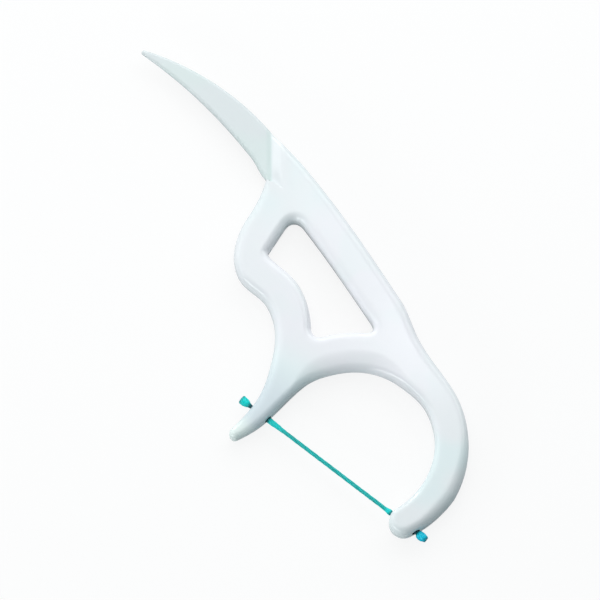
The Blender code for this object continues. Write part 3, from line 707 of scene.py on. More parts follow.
def edge_loops(plan, outline, walls):
    """Loops of the rounded edge as X, Y, Z, from the upper face's rim to the lower one's."""
    normals = inward_normals(outline)
    reaches = edge_reaches(plan, outline, normals, walls)
    edge = plan.s.edge
    upper = []
    for turn in np.linspace(QUARTER_TURN, 0, EDGE_STEPS + 1):
        places = outline + reaches * (1 - math.cos(turn)) * normals
        face = face_height(plan, places)
        rise = np.minimum(reaches, edge.of_thickness_share * face)
        upper.append((places, face - rise * (1 - math.sin(turn))))
    seam = [
        (outline, np.full(len(outline), edge.seam_width)),
        (outline - edge.seam * normals, np.zeros(len(outline))),
        (outline, np.full(len(outline), -edge.seam_width)),
    ]
    lower = [(places, -height) for places, height in upper[::-1]]
    return [raised(places, height) for places, height in upper + seam + lower]


# Meshes

def loop_faces(first, loops, size):
    """Quads between loops that follow each other, numbered from the first point."""
    faces = []
    for row in range(loops - 1):
        above = first + row * size
        below = above + size
        for i in range(size):
            j = (i - 1) % size
            faces.append((above + j, below + j, below + i, above + i))
    return faces


def notch_rows(plan):
    """Points along the foot and the top of the small wall that runs in from the notch."""
    tail = plan.s.tail
    down_flank = heading(plan.s.grip.flank_heading)
    places = np.arange(0, tail.step_run + tail.step_lag, ROW_SPACING)
    foot = plan.notch + 1j * down_flank * places
    return np.concatenate([foot, foot + tail.notch_run * down_flank])


def face_points(rim, hole, rows):
    """Points over a face in staggered rows, kept clear of its rims and of other rows."""
    level_spacing = FACE_SPACING * math.sin(HALF_TURN / 3)
    levels = np.arange(rim.imag.min(), rim.imag.max(), level_spacing)
    columns = np.arange(rim.real.min(), rim.real.max(), FACE_SPACING)
    shift = (np.arange(len(levels)) % 2) * FACE_SPACING / 2
    grid = (columns[None, :] + shift[:, None] + 1j * levels[:, None]).ravel()
    grid = grid[inside(grid, rim) & ~inside(grid, hole)]
    edge = np.concatenate([rim, hole])
    rows = rows[inside(rows, rim)]
    rows = rows[[abs(edge - point).min() > ROW_CLEARANCE for point in rows]]
    kept = np.concatenate([edge, rows])
    clear = [abs(kept - point).min() > GRID_CLEARANCE for point in grid]
    return np.concatenate([grid[np.array(clear, bool)], rows])


def face_triangles(rim, hole, inner):
    """Triangles of a face between its rim and the window's, as numbers into its points."""
    points = np.concatenate([rim, hole, inner])
    first = len(rim)
    edges = [(i, (i + 1) % len(rim)) for i in range(len(rim))]
    edges += [(first + i, first + (i + 1) % len(hole)) for i in range(len(hole))]
    places = [Vector((p.real, p.imag)) for p in points]
    _, _, faces, sources, _, _ = delaunay_2d_cdt(places, edges, [], 0, 0)
    corners = np.array([[sources[i][0] for i in face] for face in faces])
    middles = points[corners].mean(axis=1)
    kept = inside(middles, rim) & ~inside(middles, hole)
    return corners[kept]


def handle_mesh(plan):
    """The moulded handle without its channels, one closed skin."""
    outer = plan.outer()
    window = plan.window()
    walls = np.concatenate([outer, window])
    outer_loops = edge_loops(plan, outer, walls)
    window_loops = edge_loops(plan, window, walls)
    rim = laid_flat(outer_loops[0])
    hole = laid_flat(window_loops[0])
    inner = face_points(rim, hole, notch_rows(plan))
    height = face_height(plan, inner)
    skins = [raised(inner, height), raised(inner, -height)]
    vertices = np.concatenate(outer_loops + window_loops + skins)
    window_first = len(outer_loops) * len(outer)
    skin_first = window_first + len(window_loops) * len(window)
    faces = loop_faces(0, len(outer_loops), len(outer))
    faces += loop_faces(window_first, len(window_loops), len(window))
    triangles = face_triangles(rim, hole, inner)
    last = len(outer_loops) - 1
    for side, loop in ((1, 0), (-1, last)):
        numbers = np.concatenate([
            loop * len(outer) + np.arange(len(outer)),
            window_first + loop * len(window) + np.arange(len(window)),
            skin_first + (0 if side > 0 else len(inner)) + np.arange(len(inner)),
        ])
        faces += [tuple(corner) for corner in numbers[triangles][:, ::side]]
    mesh = bpy.data.meshes.new("handle_skin")
    mesh.from_pydata(vertices.tolist(), [], [tuple(map(int, face)) for face in faces])
    mesh.validate()
    return mesh


def strand_faces(plan):
    """Distances along the strand, from the beak's hole, where it enters and leaves the arms."""
    along = plan.strand_way / abs(plan.strand_way)
    turned = (plan.outer() - plan.beak_hole) * np.conj(along)
    ahead = np.roll(turned, -1)
    crosses = (turned.imag > 0) != (ahead.imag > 0)
    run = turned.imag[crosses] / (turned.imag[crosses] - ahead.imag[crosses])
    return np.sort(turned.real[crosses] + run * (ahead.real[crosses] - turned.real[crosses]))


def strand_frame(plan):
    """Matrix that lays what is drawn along X on the strand, from the beak's hole."""
    turn = Matrix.Rotation(plan.strand_turn, 4, "Z")
    return Matrix.Translation((plan.beak_hole.real, plan.beak_hole.imag, 0)) @ turn


def bow_centre(plan):
    """The bow's centre in the row frame: the CAD handle's box holds the same outline."""
    low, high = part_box("handle")
    outline = plan.outer()
    x = low.x - outline.real.min()
    y = low.y - outline.imag.min()
    return Vector((x, y, (low.z + high.z) / 2))


def in_frame(centre, place):
    """A place of the drawing in the row frame, at half the handle's thickness."""
    return centre + Vector((place.real, place.imag, 0))


def as_mesh(work, name):
    """What bmesh has drawn, as plain mesh data."""
    mesh = bpy.data.meshes.new(name)
    work.to_mesh(mesh)
    work.free()
    return mesh


def linked(name, data):
    """A new object in the scene, at the origin."""
    item = bpy.data.objects.new(name, data)
    bpy.context.scene.collection.objects.link(item)
    return item


def channel_cutter(plan):
    """A round bar along the strand that opens the channels in both arms."""
    strand = plan.s.strand
    distances = strand_faces(plan)
    start = distances[0] - strand.overrun
    end = distances[-1] + strand.overrun
    radius = strand.diameter / 2 + strand.bore
    bar = bmesh.new()
    bmesh.ops.create_cone(
        bar, cap_ends=True, segments=BORE_SIDES,
        radius1=radius, radius2=radius, depth=end - start,
    )
    bar.transform(Matrix.Rotation(QUARTER_TURN, 4, "Y"))
    bar.transform(Matrix.Translation(((start + end) / 2, 0, 0)))
    bar.transform(strand_frame(plan))
    return as_mesh(bar, "channel_cutter")


def placed_piece(name, mesh, place, materials):
    """An object at the origin whose mesh is moved to its place."""
    mesh.transform(Matrix.Translation(place))
    mesh.materials.clear()
    for material in materials:
        mesh.materials.append(material)
    return linked(name, mesh)


def plain_mesh(item, name):
    """The evaluated object as a plain mesh, with the object itself removed."""
    bpy.context.view_layer.update()
    graph = bpy.context.evaluated_depsgraph_get()
    mesh = bpy.data.meshes.new_from_object(item.evaluated_get(graph))
    mesh.name = name
    bpy.data.objects.remove(item, do_unlink=True)
    return mesh


def join_corners(mesh):
    """Join the corners that a cut left on one another, with the slivers between them."""
    work = bmesh.new()
    work.from_mesh(mesh)
    bmesh.ops.remove_doubles(work, verts=work.verts, dist=SAME_POINT)
    work.to_mesh(mesh)
    work.free()


# Node trees

class Socket:
    """A value in a node tree that can be added, scaled and compared like a number."""

    def __init__(self, tree, link):
        self.tree = tree
        self.link = link

    def beside(self, output):
        """Another output of the same node."""
        return Socket(self.tree, self.link.node.outputs[output])

    def math(self, operation, *others):
        values = dict(enumerate((self, *others)))
        return self.tree.node("ShaderNodeMath", {"operation": operation}, values)

    def __add__(self, other):
        return self.math("ADD", other)

    def __radd__(self, other):
        return self.math("ADD", other)

    def __sub__(self, other):
        return self.math("SUBTRACT", other)

    def __rsub__(self, other):
        return self.tree.node("ShaderNodeMath", {"operation": "SUBTRACT"}, {0: other, 1: self})

    def __mul__(self, other):
        return self.math("MULTIPLY", other)

    def __rmul__(self, other):
        return self.math("MULTIPLY", other)

    def __truediv__(self, other):
        return self.math("DIVIDE", other)

    def clamped(self):
        return self.math("MINIMUM", 1.0).math("MAXIMUM", 0.0)


class NodeTree:
    """A node tree with one method that makes any node."""

    def __init__(self, group):
        self.group = group

    def set_input(self, node, key, value):
        """Link an input of a node to a socket, or give it a value of its own."""
        if isinstance(value, Socket):
            self.group.links.new(value.link, node.inputs[key])
        else:
            node.inputs[key].default_value = value

    def made(self, kind, settings=None, values=None):
        """A new node, which gets its settings first and then its inputs."""
        node = self.group.nodes.new(kind)
        for key, value in (settings or {}).items():
            setattr(node, key, value)
        for key, value in (values or {}).items():
            self.set_input(node, key, value)
        return node

    def node(self, kind, settings=None, values=None, output=0):
        """One output of a new node."""
        return Socket(self, self.made(kind, settings, values).outputs[output])

    def vector(self, operation, first, second, output=0):
        settings = {"operation": operation}
        return self.node("ShaderNodeVectorMath", settings, {0: first, 1: second}, output)

    def mix(self, factor, *colours):
        """A colour between two, each a socket or its red, green and blue."""
        first, second = (c if isinstance(c, Socket) else (*c, 1.0) for c in colours)
        settings = {"data_type": "RGBA"}
        return self.node("ShaderNodeMix", settings, {0: factor, 6: first, 7: second}, 2)


class Shader(NodeTree):
    """The node tree of a new material."""

    def __init__(self, name):
        self.material = bpy.data.materials.new(name)
        self.material.use_nodes = True
        super().__init__(self.material.node_tree)
        self.surface = self.group.nodes["Principled BSDF"]

    def place(self, turn=0.0, origin=(0.0, 0.0, 0.0)):
        """Object coordinates, moved to an origin and turned about Z."""
        here = self.node("ShaderNodeTexCoord", output="Object")
        from_origin = self.vector("SUBTRACT", here, origin)
        values = {"Vector": from_origin, "Rotation": (0.0, 0.0, -turn)}
        return self.node("ShaderNodeMapping", {"vector_type": "POINT"}, values)

    def part_of(self, vector, axis):
        return self.node("ShaderNodeSeparateXYZ", values={"Vector": vector}, output=axis)

    def noise(self, vector, scale, detail=2.0):
        values = {"Vector": vector, "Scale": scale, "Detail": detail}
        return self.node("ShaderNodeTexNoise", values=values, output="Fac")

    def ramp_up(self, value, start, end, origin=0.0):
        """An eased run from 0 to 1 between two values, which are counted from an origin."""
        settings = {"interpolation_type": "SMOOTHSTEP"}
        values = {"Value": value, "From Min": origin + start, "From Max": origin + end}
        return self.node("ShaderNodeMapRange", settings, values)

    def ramp_down(self, value, start, end, origin=0.0):
        """The same run from 1 to 0."""
        return 1.0 - self.ramp_up(value, start, end, origin)

    def bump(self, height, distance, strength):
        values = {"Height": height, "Distance": distance, "Strength": strength}
        return self.node("ShaderNodeBump", values=values, output="Normal")

    def finish(self, **inputs):
        """The material, with inputs of its surface set by their names."""
        for key, value in inputs.items():
            self.set_input(self.surface, key.replace("_", " "), value)
        return self.material


# Materials

# Where the plastic's tints start and end, in metres: the body's along X from the bow's
# centre, the painted crest highlight's along the flank from the notch, and the others off the
# neck or the tip
BODY_STARTS = (-0.034, -0.027)
BODY_ENDS = (-0.001, 0.006)
NECK_LEFT = (0.006, 0.013)
SLIM_ENDS = (0.0022, 0.0085)
TIP_ENDS = (0.0012, 0.0036)
CREST_HIGHLIGHT_ENDS = (0.0, 0.004)
# The same along the step, which runs from 0 at its foot to 1 at its top
STEP_THICKENS = (0.0, 0.22)
# Painted shade at the step's foot and painted highlight on its crest
FOOT_SHADE_RUN = (-0.35, -0.08)
CREST_HIGHLIGHT_STARTS = (0.0, 0.3)
CREST_HIGHLIGHT_FADES = (0.8, 2.6)
# The same for patches, as values of the noise that makes them
MINT_PATCHES = (0.38, 0.60)
LILAC_PATCHES = (0.42, 0.62)
THIN_MINT_PATCHES = (0.40, 0.60)
# How much of a tint is seen or lost
MINT_LOST_AMID = 0.75
LILAC_LEAST = 0.4
FOOT_SHADE_SHARE = 0.5
CREST_HIGHLIGHT_SHARE = 0.9
SLIM_SHARE = 0.8

# The floss: its outer filaments as shares of its diameter, lightened as a painted rim
# highlight, and what brightens or darkens it
OUTER_RIM_HIGHLIGHT = (0.44, 0.58)
RIM_HIGHLIGHT_SHARE = 0.85
STREAKS_BRIGHTEN = 0.30
CUT_DARKENS = 0.55
CUT_SHADE = 0.0004
HELD_SHADE_SHARE = 0.9
# Where painted shade starts in each arm and clears again, from the two holes of that arm
BEAK_SHADE_STARTS = (-0.0009, -0.0002)
BEAK_SHADE_CLEARS = (0.0, 0.0005)
ARM_SHADE_STARTS = (-0.0006, 0.0)
ARM_SHADE_CLEARS = (0.0001, 0.0006)
# Its streaks are drawn out along it
STREAK_STRETCH = (0.12, 1.0, 1.0)


def moulded_plastic(plan, centre):
    """Glossy cool white plastic, greyer on the thin tail, with painted shade at the foot of the
    step and a painted highlight on its crest.
    """
    look = plan.s.finish
    tail = plan.s.tail
    shader = Shader("moulded_plastic")
    here = shader.place()
    patches = shader.noise(here, scale=110.0, detail=1.0)
    other_patches = shader.noise(shader.place(turn=1.0), scale=170.0, detail=1.0)

    # The body is lilac away from the bow and the neck, and mint in patches elsewhere
    ahead = shader.part_of(shader.place(origin=centre), "X")
    off_neck = shader.vector("DISTANCE", here, in_frame(centre, plan.beak_hole), "Value")
    amid = shader.ramp_up(ahead, *BODY_STARTS) * shader.ramp_down(ahead, *BODY_ENDS)
    amid = amid * shader.ramp_up(off_neck, *NECK_LEFT)
    mint = shader.ramp_up(patches, *MINT_PATCHES) * (1.0 - MINT_LOST_AMID * amid)
    lilac = shader.ramp_up(other_patches, *LILAC_PATCHES) * (1.0 - LILAC_LEAST) + LILAC_LEAST
    lilac = lilac * amid
    tint = shader.mix(mint, look.plastic, look.plastic_mint)
    tint = shader.mix(lilac, tint, look.plastic_lilac)

    # The tail is greyer, and the step has painted shade at its foot and a painted highlight on
    # its crest
    notch = in_frame(centre, plan.notch)
    up_step = shader.part_of(shader.place(tail.step_facing, notch), "X")
    up_step = (up_step - tail.step_lag) / tail.step_run
    past_notch = shader.part_of(shader.place(plan.s.grip.flank_heading, notch), "X")
    step = up_step.math("MAXIMUM", past_notch / tail.notch_run)
    thick = shader.ramp_up(step, *STEP_THICKENS)
    thin_mint = shader.ramp_up(patches, *THIN_MINT_PATCHES)
    thin = shader.mix(thin_mint, look.plastic_thin, look.plastic_thin_mint)
    # Painted shade in the crease at the foot of the step
    foot = shader.ramp_up(step, *FOOT_SHADE_RUN)
    thin = shader.mix(foot * FOOT_SHADE_SHARE, thin, look.plastic_foot)
    # Painted highlight along the crest of the step
    crest = shader.ramp_up(step, *CREST_HIGHLIGHT_STARTS) * shader.ramp_down(up_step, *CREST_HIGHLIGHT_FADES)
    crest = crest * shader.ramp_down(past_notch, *CREST_HIGHLIGHT_ENDS)
    tint = shader.mix(crest * CREST_HIGHLIGHT_SHARE, tint, look.plastic_crest)

    # The slender arm is bluer, and its tip greener
    slim = shader.ramp_down(off_neck, *SLIM_ENDS)
    tint = shader.mix(slim * SLIM_SHARE, tint, look.plastic_slim)
    off_tip = shader.vector("DISTANCE", here, in_frame(centre, plan.beak_tip), "Value")
    tint = shader.mix(shader.ramp_down(off_tip, *TIP_ENDS), tint, look.plastic_tip)
    colour = shader.mix(thick, thin, tint)
    flow = shader.noise(here, scale=900.0, detail=3.0)
    skin = shader.noise(here, scale=2600.0)
    bump = shader.bump(skin, distance=0.000004, strength=0.6)
    return shader.finish(
        Base_Color=colour, Roughness=0.14 + 0.10 * flow, Normal=bump, IOR=1.49,
    )


def channel_wall(plan):
    """Painted shade: a near-black wall, with a faint grain, for the channels that the strand
    runs through.
    """
    look = plan.s.finish
    shader = Shader("channel_wall")
    grain = shader.noise(shader.place(), scale=4000.0)
    colour = shader.mix(grain, look.channel, look.channel_shade_grain)
    return shader.finish(Base_Color=colour, Roughness=0.6)


def waxed_floss(plan, centre):
    """Turquoise filaments, deep in the taut span and bright where they spread, with a painted
    rim highlight on the outer filaments, painted light on the stub past the thick arm, and
    painted shade at the cut ends and where the arms hold it.
    """
    look = plan.s.finish
    strand = plan.s.strand
    shader = Shader("waxed_floss")
    here = shader.place(plan.strand_turn, in_frame(centre, plan.beak_hole))
    along, side, height = (shader.part_of(here, axis) for axis in "XYZ")
    off_axis = (side * side + height * height).math("SQRT")
    # The outer filaments are lightened: a painted rim highlight along the strand, and the
    # spread ends' brighter colour
    outer = shader.ramp_up(off_axis, *(strand.diameter * part for part in OUTER_RIM_HIGHLIGHT))
    streaks = shader.noise(shader.vector("MULTIPLY", here, STREAK_STRETCH), scale=9000.0)
    spread = outer * RIM_HIGHLIGHT_SHARE + STREAKS_BRIGHTEN * streaks
    colour = shader.mix(spread.clamped(), look.floss, look.floss_bright)

    # Stub past the thick arm lightened with painted light, painted shade at the cut ends, and
    # painted shade where the two arms hold it
    enter, leave, arrive, end = strand_faces(plan)
    past_arm = shader.ramp_up(along, 0.0, strand.arm_stub_length / 2, origin=end)
    # Painted light on the stub past the thick arm, over its own cyan
    colour = shader.mix(past_arm * outer, colour, look.floss_cut)
    profile = strand_profile(plan)
    cut = shader.ramp_down(along, 0.0, CUT_SHADE, origin=profile[0][0])
    cut = cut + shader.ramp_up(along, -CUT_SHADE, 0.0, origin=profile[-1][0])
    # Painted shade on the strand inside and beside the holes of both arms
    shade_in_beak = shader.ramp_up(along, *BEAK_SHADE_STARTS, origin=enter)
    shade_in_beak = shade_in_beak * shader.ramp_down(along, *BEAK_SHADE_CLEARS, origin=leave)
    shade_in_arm = shader.ramp_up(along, *ARM_SHADE_STARTS, origin=arrive)
    shade_in_arm = shade_in_arm * shader.ramp_down(along, *ARM_SHADE_CLEARS, origin=end)
    dark = (cut * CUT_DARKENS + (shade_in_beak + shade_in_arm) * HELD_SHADE_SHARE).clamped()
    colour = shader.mix(dark, colour, look.floss_dark)
    bump = shader.bump(streaks, distance=0.00001, strength=0.5)
    return shader.finish(
        Base_Color=colour, Roughness=0.42, Normal=bump, Sheen_Weight=0.15,
        Sheen_Tint=(0.2, 1.0, 0.98, 1.0), Sheen_Roughness=0.4,
    )


# Strand of filaments

def strand_profile(plan):
    """Distances along the strand from the beak's hole, with the bundle's radius at each.

    Near the holes they are counted in clearances of the channel, and along the stubs and the
    flares in shares of their lengths.
    """
    strand = plan.s.strand
    enter, leave, arrive, end = strand_faces(plan)
    thin = strand.diameter / 2
    stub = strand.stub / 2
    flare = strand.beak_flare / 2
    gap = strand.bore
    beak_end = enter - gap - strand.beak_stub_length
    flared = leave + 0.2 * gap
    arm_stub = end + 1.2 * gap
    arm_end = end + gap + strand.arm_stub_length
    return [
        (beak_end, stub * 0.80),
        (beak_end + 0.15 * strand.beak_stub_length, stub),
        (beak_end + 0.50 * strand.beak_stub_length, stub * 0.90),
        (enter - 1.2 * gap, stub * 0.50),
        (enter, thin * 0.9),
        (leave - 0.8 * gap, thin),
        (flared, flare),
        (flared + 0.5 * strand.beak_flare_length, (flare + thin) / 2),
        (flared + strand.beak_flare_length, thin),
        (arrive - gap - strand.arm_flare_length, thin),
        (arrive - gap, strand.arm_flare / 2),
        (arrive, thin),
        (end + 0.3 * gap, thin),
        (arm_stub, stub * 0.80),
        (arm_stub + 0.3 * strand.arm_stub_length, stub),
        (arm_end - 0.25 * strand.arm_stub_length, stub * 0.85),
        (arm_end, stub * 0.62),
    ]


class GeometryTree(NodeTree):
    """A geometry node tree that makes one geometry from named inputs."""

    def __init__(self, name, inputs):
        super().__init__(bpy.data.node_groups.new(name, "GeometryNodeTree"))
        sockets = self.group.interface
        sockets.new_socket("Geometry", in_out="OUTPUT", socket_type="NodeSocketGeometry")
        self.identifiers = {}
        for label, kind, _ in inputs:
            item = sockets.new_socket(label, in_out="INPUT", socket_type=kind)
            self.identifiers[label] = item.identifier
        self.asked = self.node("NodeGroupInput").beside

    def kept(self, geometry, value):
        """A geometry whose points keep a value, and that value as they keep it."""
        capture = self.made("GeometryNodeCaptureAttribute", {"domain": "POINT"})
        capture.capture_items.new("FLOAT", "kept")
        self.set_input(capture, 0, geometry)
        self.set_input(capture, 1, value)
        return Socket(self, capture.outputs[0]), Socket(self, capture.outputs[1])

    def swept(self, curve, sides, radius, scale=1.0):
        """A closed rod along each spline of a curve."""
        settings = {"mode": "RADIUS"}
        values = {"Resolution": sides, "Radius": radius}
        ring = self.node("GeometryNodeCurvePrimitiveCircle", settings, values)
        values = {"Curve": curve, "Profile Curve": ring, "Scale": scale, "Fill Caps": True}
        return self.node("GeometryNodeCurveToMesh", values=values)

    def finish(self, geometries, material):
        """Join geometries, make them real and give them a material."""
        joined = self.made("GeometryNodeJoinGeometry")
        for geometry in geometries:
            self.set_input(joined, 0, geometry)
        joined = Socket(self, joined.outputs[0])
        real = self.node("GeometryNodeRealizeInstances", values={"Geometry": joined})
        values = {"Geometry": real, "Material": material}
        done = self.node("GeometryNodeSetMaterial", values=values)
        self.made("NodeGroupOutput", values={0: done})


def radius_along(tree, along, profile):
    """The bundle's radius at a share of the way along it, as a profile says."""
    widest = max(radius for _, radius in profile)
    first = profile[0][0]
    span = profile[-1][0] - first
    curve = tree.made("ShaderNodeFloatCurve", values={"Value": along})
    points = curve.mapping.curves[0].points
    for distance, radius in profile[1:-1]:
        points.new((distance - first) / span, radius / widest)
    for point, (distance, radius) in zip(points, profile):
        point.location = ((distance - first) / span, radius / widest)
        point.handle_type = "AUTO_CLAMPED"
    curve.mapping.update()
    return Socket(tree, curve.outputs[0]) * widest


def bundle_inputs(strand, profile):
    """The bundle's named inputs, each with its kind and its value."""
    return (
        ("Start", "NodeSocketFloat", profile[0][0]),
        ("End", "NodeSocketFloat", profile[-1][0]),
        ("Filaments", "NodeSocketInt", strand.filaments),
        ("Filament Radius", "NodeSocketFloat", strand.filament / 2),
        ("Turns", "NodeSocketFloat", strand.turns),
        ("Steps", "NodeSocketInt", FILAMENT_STEPS),
        ("Loose", "NodeSocketInt", strand.loose),
        ("Looseness", "NodeSocketFloat", strand.looseness),
    )


def bundle_tree(inputs, profile, material):
    """Filaments that twist round a waxed core, along X, as thick as a profile says."""
    tree = GeometryTree("floss_bundle", inputs)
    asked = tree.asked
    line = tree.node("GeometryNodeCurvePrimitiveLine", values={
        "Start": tree.node("ShaderNodeCombineXYZ", values={"X": asked("Start")}),
        "End": tree.node("ShaderNodeCombineXYZ", values={"X": asked("End")}),
    })
    values = {"Curve": line, "Count": asked("Steps")}
    line = tree.node("GeometryNodeResampleCurve", values=values)
    along = tree.node("GeometryNodeSplineParameter", output="Factor")
    core_radius = radius_along(tree, along, profile) - asked("Filament Radius")

    # The filaments are numbered from the bundle's middle outwards, and the last ones are loose
    values = {"Geometry": line, "Amount": asked("Filaments")}
    copies = tree.node("GeometryNodeDuplicateElements", {"domain": "SPLINE"}, values)
    copies, number = tree.kept(copies, copies.beside("Duplicate Index"))
    outward = ((number + 0.5) / asked("Filaments")).math("POWER", FILAMENT_CROWDING)
    turn = number * GOLDEN_ANGLE + along * asked("Turns") * FULL_TURN
    is_loose = (number + asked("Loose")).math("GREATER_THAN", asked("Filaments") - 0.5)
    off_axis = core_radius * outward * (1.0 + is_loose * asked("Looseness"))
    offset = tree.node("ShaderNodeCombineXYZ", values={
        "Y": off_axis * turn.math("COSINE"), "Z": off_axis * turn.math("SINE"),
    })
    spread = tree.node("GeometryNodeSetPosition", values={"Geometry": copies, "Offset": offset})
    filaments = tree.swept(spread, FILAMENT_SIDES, asked("Filament Radius"))
    core = tree.swept(line, CORE_SIDES, 1.0, core_radius)
    tree.finish((filaments, core), material)
    return tree


# Operators

class FLOSSPICK_OT_handle(bpy.types.Operator):
    """Make the moulded handle with its channels and rounded edges"""

    bl_idname = "floss_pick.handle"
    bl_label = "Moulded handle"

    def execute(self, context):
        plan = Plan(context.scene.floss_pick)
        centre = bow_centre(plan)
        plastic = moulded_plastic(plan, centre)
        # The channels' walls take painted shade
        wall = channel_wall(plan)
        skin = placed_piece("handle_skin", handle_mesh(plan), centre, [plastic])
        cutter = placed_piece("channel_cutter", channel_cutter(plan), centre, [wall])
        channels = skin.modifiers.new("channels", "BOOLEAN")
        channels.operation = "DIFFERENCE"
        channels.solver = "EXACT"
        channels.material_mode = "TRANSFER"
        channels.object = cutter
        mesh = plain_mesh(skin, "moulded_handle")
        bpy.data.objects.remove(cutter, do_unlink=True)
        join_corners(mesh)
        mesh.shade_smooth()
        mesh.set_sharp_from_angle(angle=SHARP_ANGLE)
        piece = linked("moulded_handle", mesh)
        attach(piece, "root")
        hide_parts("handle")
        return {"FINISHED"}


class FLOSSPICK_OT_strand(bpy.types.Operator):
    """Make the taut strand of floss with its spread ends"""

    bl_idname = "floss_pick.strand"
    bl_label = "Floss strand"

    def execute(self, context):
        plan = Plan(context.scene.floss_pick)
        centre = bow_centre(plan)
        profile = strand_profile(plan)
        inputs = bundle_inputs(plan.s.strand, profile)
        material = waxed_floss(plan, centre)
        tree = bundle_tree(inputs, profile, material)
        base = placed_piece("floss_base", bpy.data.meshes.new("floss_base"), centre, [])
        bundle = base.modifiers.new("floss_bundle", "NODES")
        bundle.node_group = tree.group
        for name, _, value in inputs:
            bundle[tree.identifiers[name]] = value
        mesh = plain_mesh(base, "floss_bundle")
        mesh.transform(strand_frame(plan))
        mesh.shade_smooth()
        piece = placed_piece("floss_bundle", mesh, centre, [material])
        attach(piece, "root")
        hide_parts("floss_strand")
        return {"FINISHED"}


class FLOSSPICK_OT_stage(bpy.types.Operator):
    """Set the camera, the pale floor and the soft lamps"""

    bl_idname = "floss_pick.stage"
    bl_label = "Stage"

    def execute(self, context):
        plan = Plan(context.scene.floss_pick)
        add_camera(plan)
        add_floor(plan)
        add_lamps(plan)
        add_world()
        context.scene.view_settings.view_transform = "Standard"
        return {"FINISHED"}


# Stage

# Floor and sky look white, and shine back less than they seem to
WHITE = (1.0, 1.0, 1.0)
FLOOR_TONE = (0.18, 0.25, 0.27)
FLOOR_GLOW = 0.86
SKY_TONE = (0.68, 0.94, 1.0)
SKY_STRENGTH = 0.19
MIRRORED_SHARE = 0.36

# Softboxes: name, way from the pick to the right, to the back and up, size, watts and tint
SOFTBOXES = (
    ("overhead_softbox", (-0.05, 0.04, 0.30), (0.30, 0.30), 0.215, (1.0, 0.965, 0.965)),
    ("rear_softbox", (0.12, 0.28, 0.22), (0.60, 0.30), 1.18, WHITE),
    ("left_softbox", (-0.32, 0.06, 0.15), (0.36, 0.16), 0.22, WHITE),
    ("rear_left_card", (-0.20, 0.31, 0.13), (0.05, 0.22), 0.22, WHITE),
    ("front_strip", (-0.22, -0.24, 0.07), (0.28, 0.09), 0.50, WHITE),
)
LIT_PLACE = (0.004, 0.006, 0.0)

# Catchlights: name, place of the drawing that mirrors them, height over it, size and watts
CATCHLIGHTS = (
    ("spine_catchlight", -0.021 + 0.0125j, 0.10, (0.036, 0.009), 0.0019),
    ("bow_catchlight", -0.0065 + 0.0125j, 0.07, (0.014, 0.009), 0.0011),
)
# To the camera, a flat face mirrors what lies this share of its height further back
MIRROR_SLANT = 0.335


def view_axes(stage):
    """The camera's right, up and backward directions."""
    a = stage.azimuth
    e = stage.elevation
    right = Vector((math.cos(a), math.sin(a), 0))
    back = Vector((math.sin(a) * math.cos(e), -math.cos(a) * math.cos(e), math.sin(e)))
    return right, back.cross(right), back


def add_camera(plan):
    """The photograph's view: the bow's centre stands where the frame shows it."""
    stage = plan.s.stage
    right, up, back = view_axes(stage)
    data = bpy.data.cameras.new("camera")
    data.lens = stage.lens
    data.sensor_width = 36.0
    distance = stage.frame_width * data.lens / data.sensor_width
    data.clip_start = distance / 100
    data.clip_end = distance * 100
    camera = linked("camera", data)
    middle = bow_centre(plan) - stage.bow_right * right + stage.bow_down * up
    camera.location = middle + distance * back
    camera.rotation_mode = "QUATERNION"
    camera.rotation_quaternion = Matrix((right, up, back)).transposed().to_quaternion()
    bpy.context.scene.camera = camera


def seen_and_mirrored(tree):
    """1 for rays that show a place to the camera, and 1 for those that show it in a gloss."""
    camera = tree.node("ShaderNodeLightPath", output="Is Camera Ray")
    return camera + camera.beside("Is Transmission Ray"), camera.beside("Is Glossy Ray")


def pale_floor():
    """White to the eye and in reflections, greyer for the light that it throws back."""
    shader = Shader("pale_floor")
    seen, mirrored = seen_and_mirrored(shader)
    seen = seen.clamped()
    glow = shader.node("ShaderNodeEmission", values={"Color": (*WHITE, 1.0), "Strength": 1.0})
    tone = shader.mix((seen + mirrored).clamped(), FLOOR_TONE, WHITE)
    dull = shader.node("ShaderNodeBsdfDiffuse", values={"Color": tone})
    share = seen * FLOOR_GLOW + mirrored * MIRRORED_SHARE
    both = shader.node("ShaderNodeMixShader", values={0: share, 1: dull, 2: glow})
    shader.set_input(shader.group.nodes["Material Output"], "Surface", both)
    shader.group.nodes.remove(shader.surface)
    return shader.material


def add_floor(plan):
    work = bmesh.new()
    radius = plan.s.stage.floor_radius
    bmesh.ops.create_circle(work, cap_ends=True, segments=FLOOR_SIDES, radius=radius)
    floor = linked("floor", as_mesh(work, "floor"))
    floor.data.materials.append(pale_floor())


def add_lamp(name, place, turn, size, power, tint=WHITE):
    """A soft rectangle of light that the camera doesn't see."""
    data = bpy.data.lights.new(name, "AREA")
    data.shape = "RECTANGLE"
    data.size, data.size_y = size
    data.energy = power
    data.color = tint
    lamp = linked(name, data)
    lamp.location = place
    lamp.rotation_mode = "QUATERNION"
    lamp.rotation_quaternion = turn
    lamp.visible_camera = False


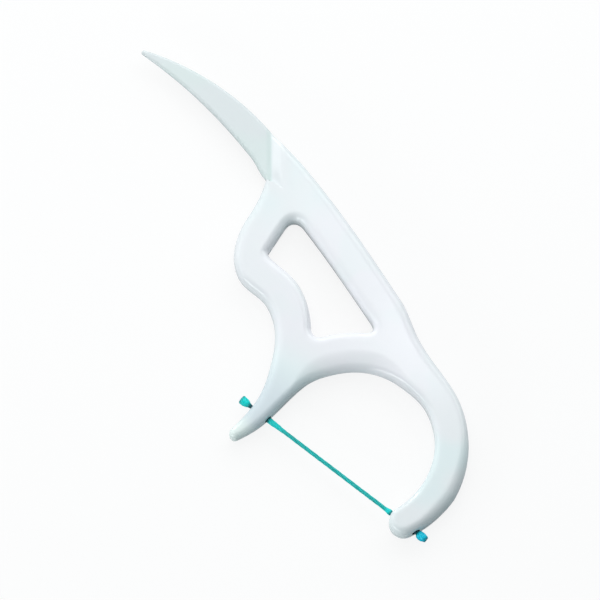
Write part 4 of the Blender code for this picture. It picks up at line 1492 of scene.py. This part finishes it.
def add_lamps(plan):
    right, up, _ = view_axes(plan.s.stage)
    across = Vector((up.x, up.y, 0)).normalized()
    high = Vector((0, 0, 1))
    for name, steps, size, power, tint in SOFTBOXES:
        way = steps[0] * right + steps[1] * across + steps[2] * high
        turn = way.to_track_quat("Z", "Y")
        add_lamp(name, Vector(LIT_PLACE) + way, turn, size, power, tint)
    along_spine = Matrix.Rotation(plan.s.spine.crown_heading, 4, "Z").to_quaternion()
    centre = bow_centre(plan)
    for name, mirror, height, size, power in CATCHLIGHTS:
        place = in_frame(centre, mirror) + height * high + height * MIRROR_SLANT * across
        add_lamp(name, place, along_spine, size, power)


def add_world():
    """A pale sky, white to the eye and fainter for the light that it gives."""
    world = bpy.data.worlds.new("studio")
    bpy.context.scene.world = world
    world.use_nodes = True
    tree = NodeTree(world.node_tree)
    seen, mirrored = seen_and_mirrored(tree)
    share = mirrored * MIRRORED_SHARE + seen
    values = {"Value": share, "To Min": SKY_STRENGTH, "To Max": 1.0}
    sky = world.node_tree.nodes["Background"]
    tree.set_input(sky, "Strength", tree.node("ShaderNodeMapRange", values=values))
    tree.set_input(sky, "Color", tree.mix(share, SKY_TONE, WHITE))


class FLOSSPICK_PT_panel(bpy.types.Panel):
    """Lists the pick's pieces and its sizes"""

    bl_idname = "FLOSSPICK_PT_panel"
    bl_label = "Floss pick"
    bl_space_type = "VIEW_3D"
    bl_region_type = "UI"
    bl_category = "Floss pick"

    def draw(self, context):
        layout = self.layout
        for operator in (FLOSSPICK_OT_handle, FLOSSPICK_OT_strand, FLOSSPICK_OT_stage):
            layout.operator(operator.bl_idname)
        settings = context.scene.floss_pick
        for group_name in FlossPickSettings.__annotations__:
            box = layout.box()
            box.label(text=group_name.capitalize())
            group = getattr(settings, group_name)
            for name in type(group).__annotations__:
                box.prop(group, name)


CLASSES = (
    BowSizes, BeakSizes, SpineSizes, GripSizes, WindowSizes, TailSizes, EdgeSizes,
    StrandSizes, Finishes, StageSizes, FlossPickSettings,
    FLOSSPICK_OT_handle, FLOSSPICK_OT_strand, FLOSSPICK_OT_stage, FLOSSPICK_PT_panel,
)


def register():
    for item in CLASSES:
        bpy.utils.register_class(item)
    bpy.types.Scene.floss_pick = PointerProperty(type=FlossPickSettings)


def unregister():
    del bpy.types.Scene.floss_pick
    for item in reversed(CLASSES):
        bpy.utils.unregister_class(item)


def main():
    register()
    bpy.ops.floss_pick.handle()
    bpy.ops.floss_pick.strand()
    bpy.ops.floss_pick.stage()


if __name__ == "__main__":
    main()
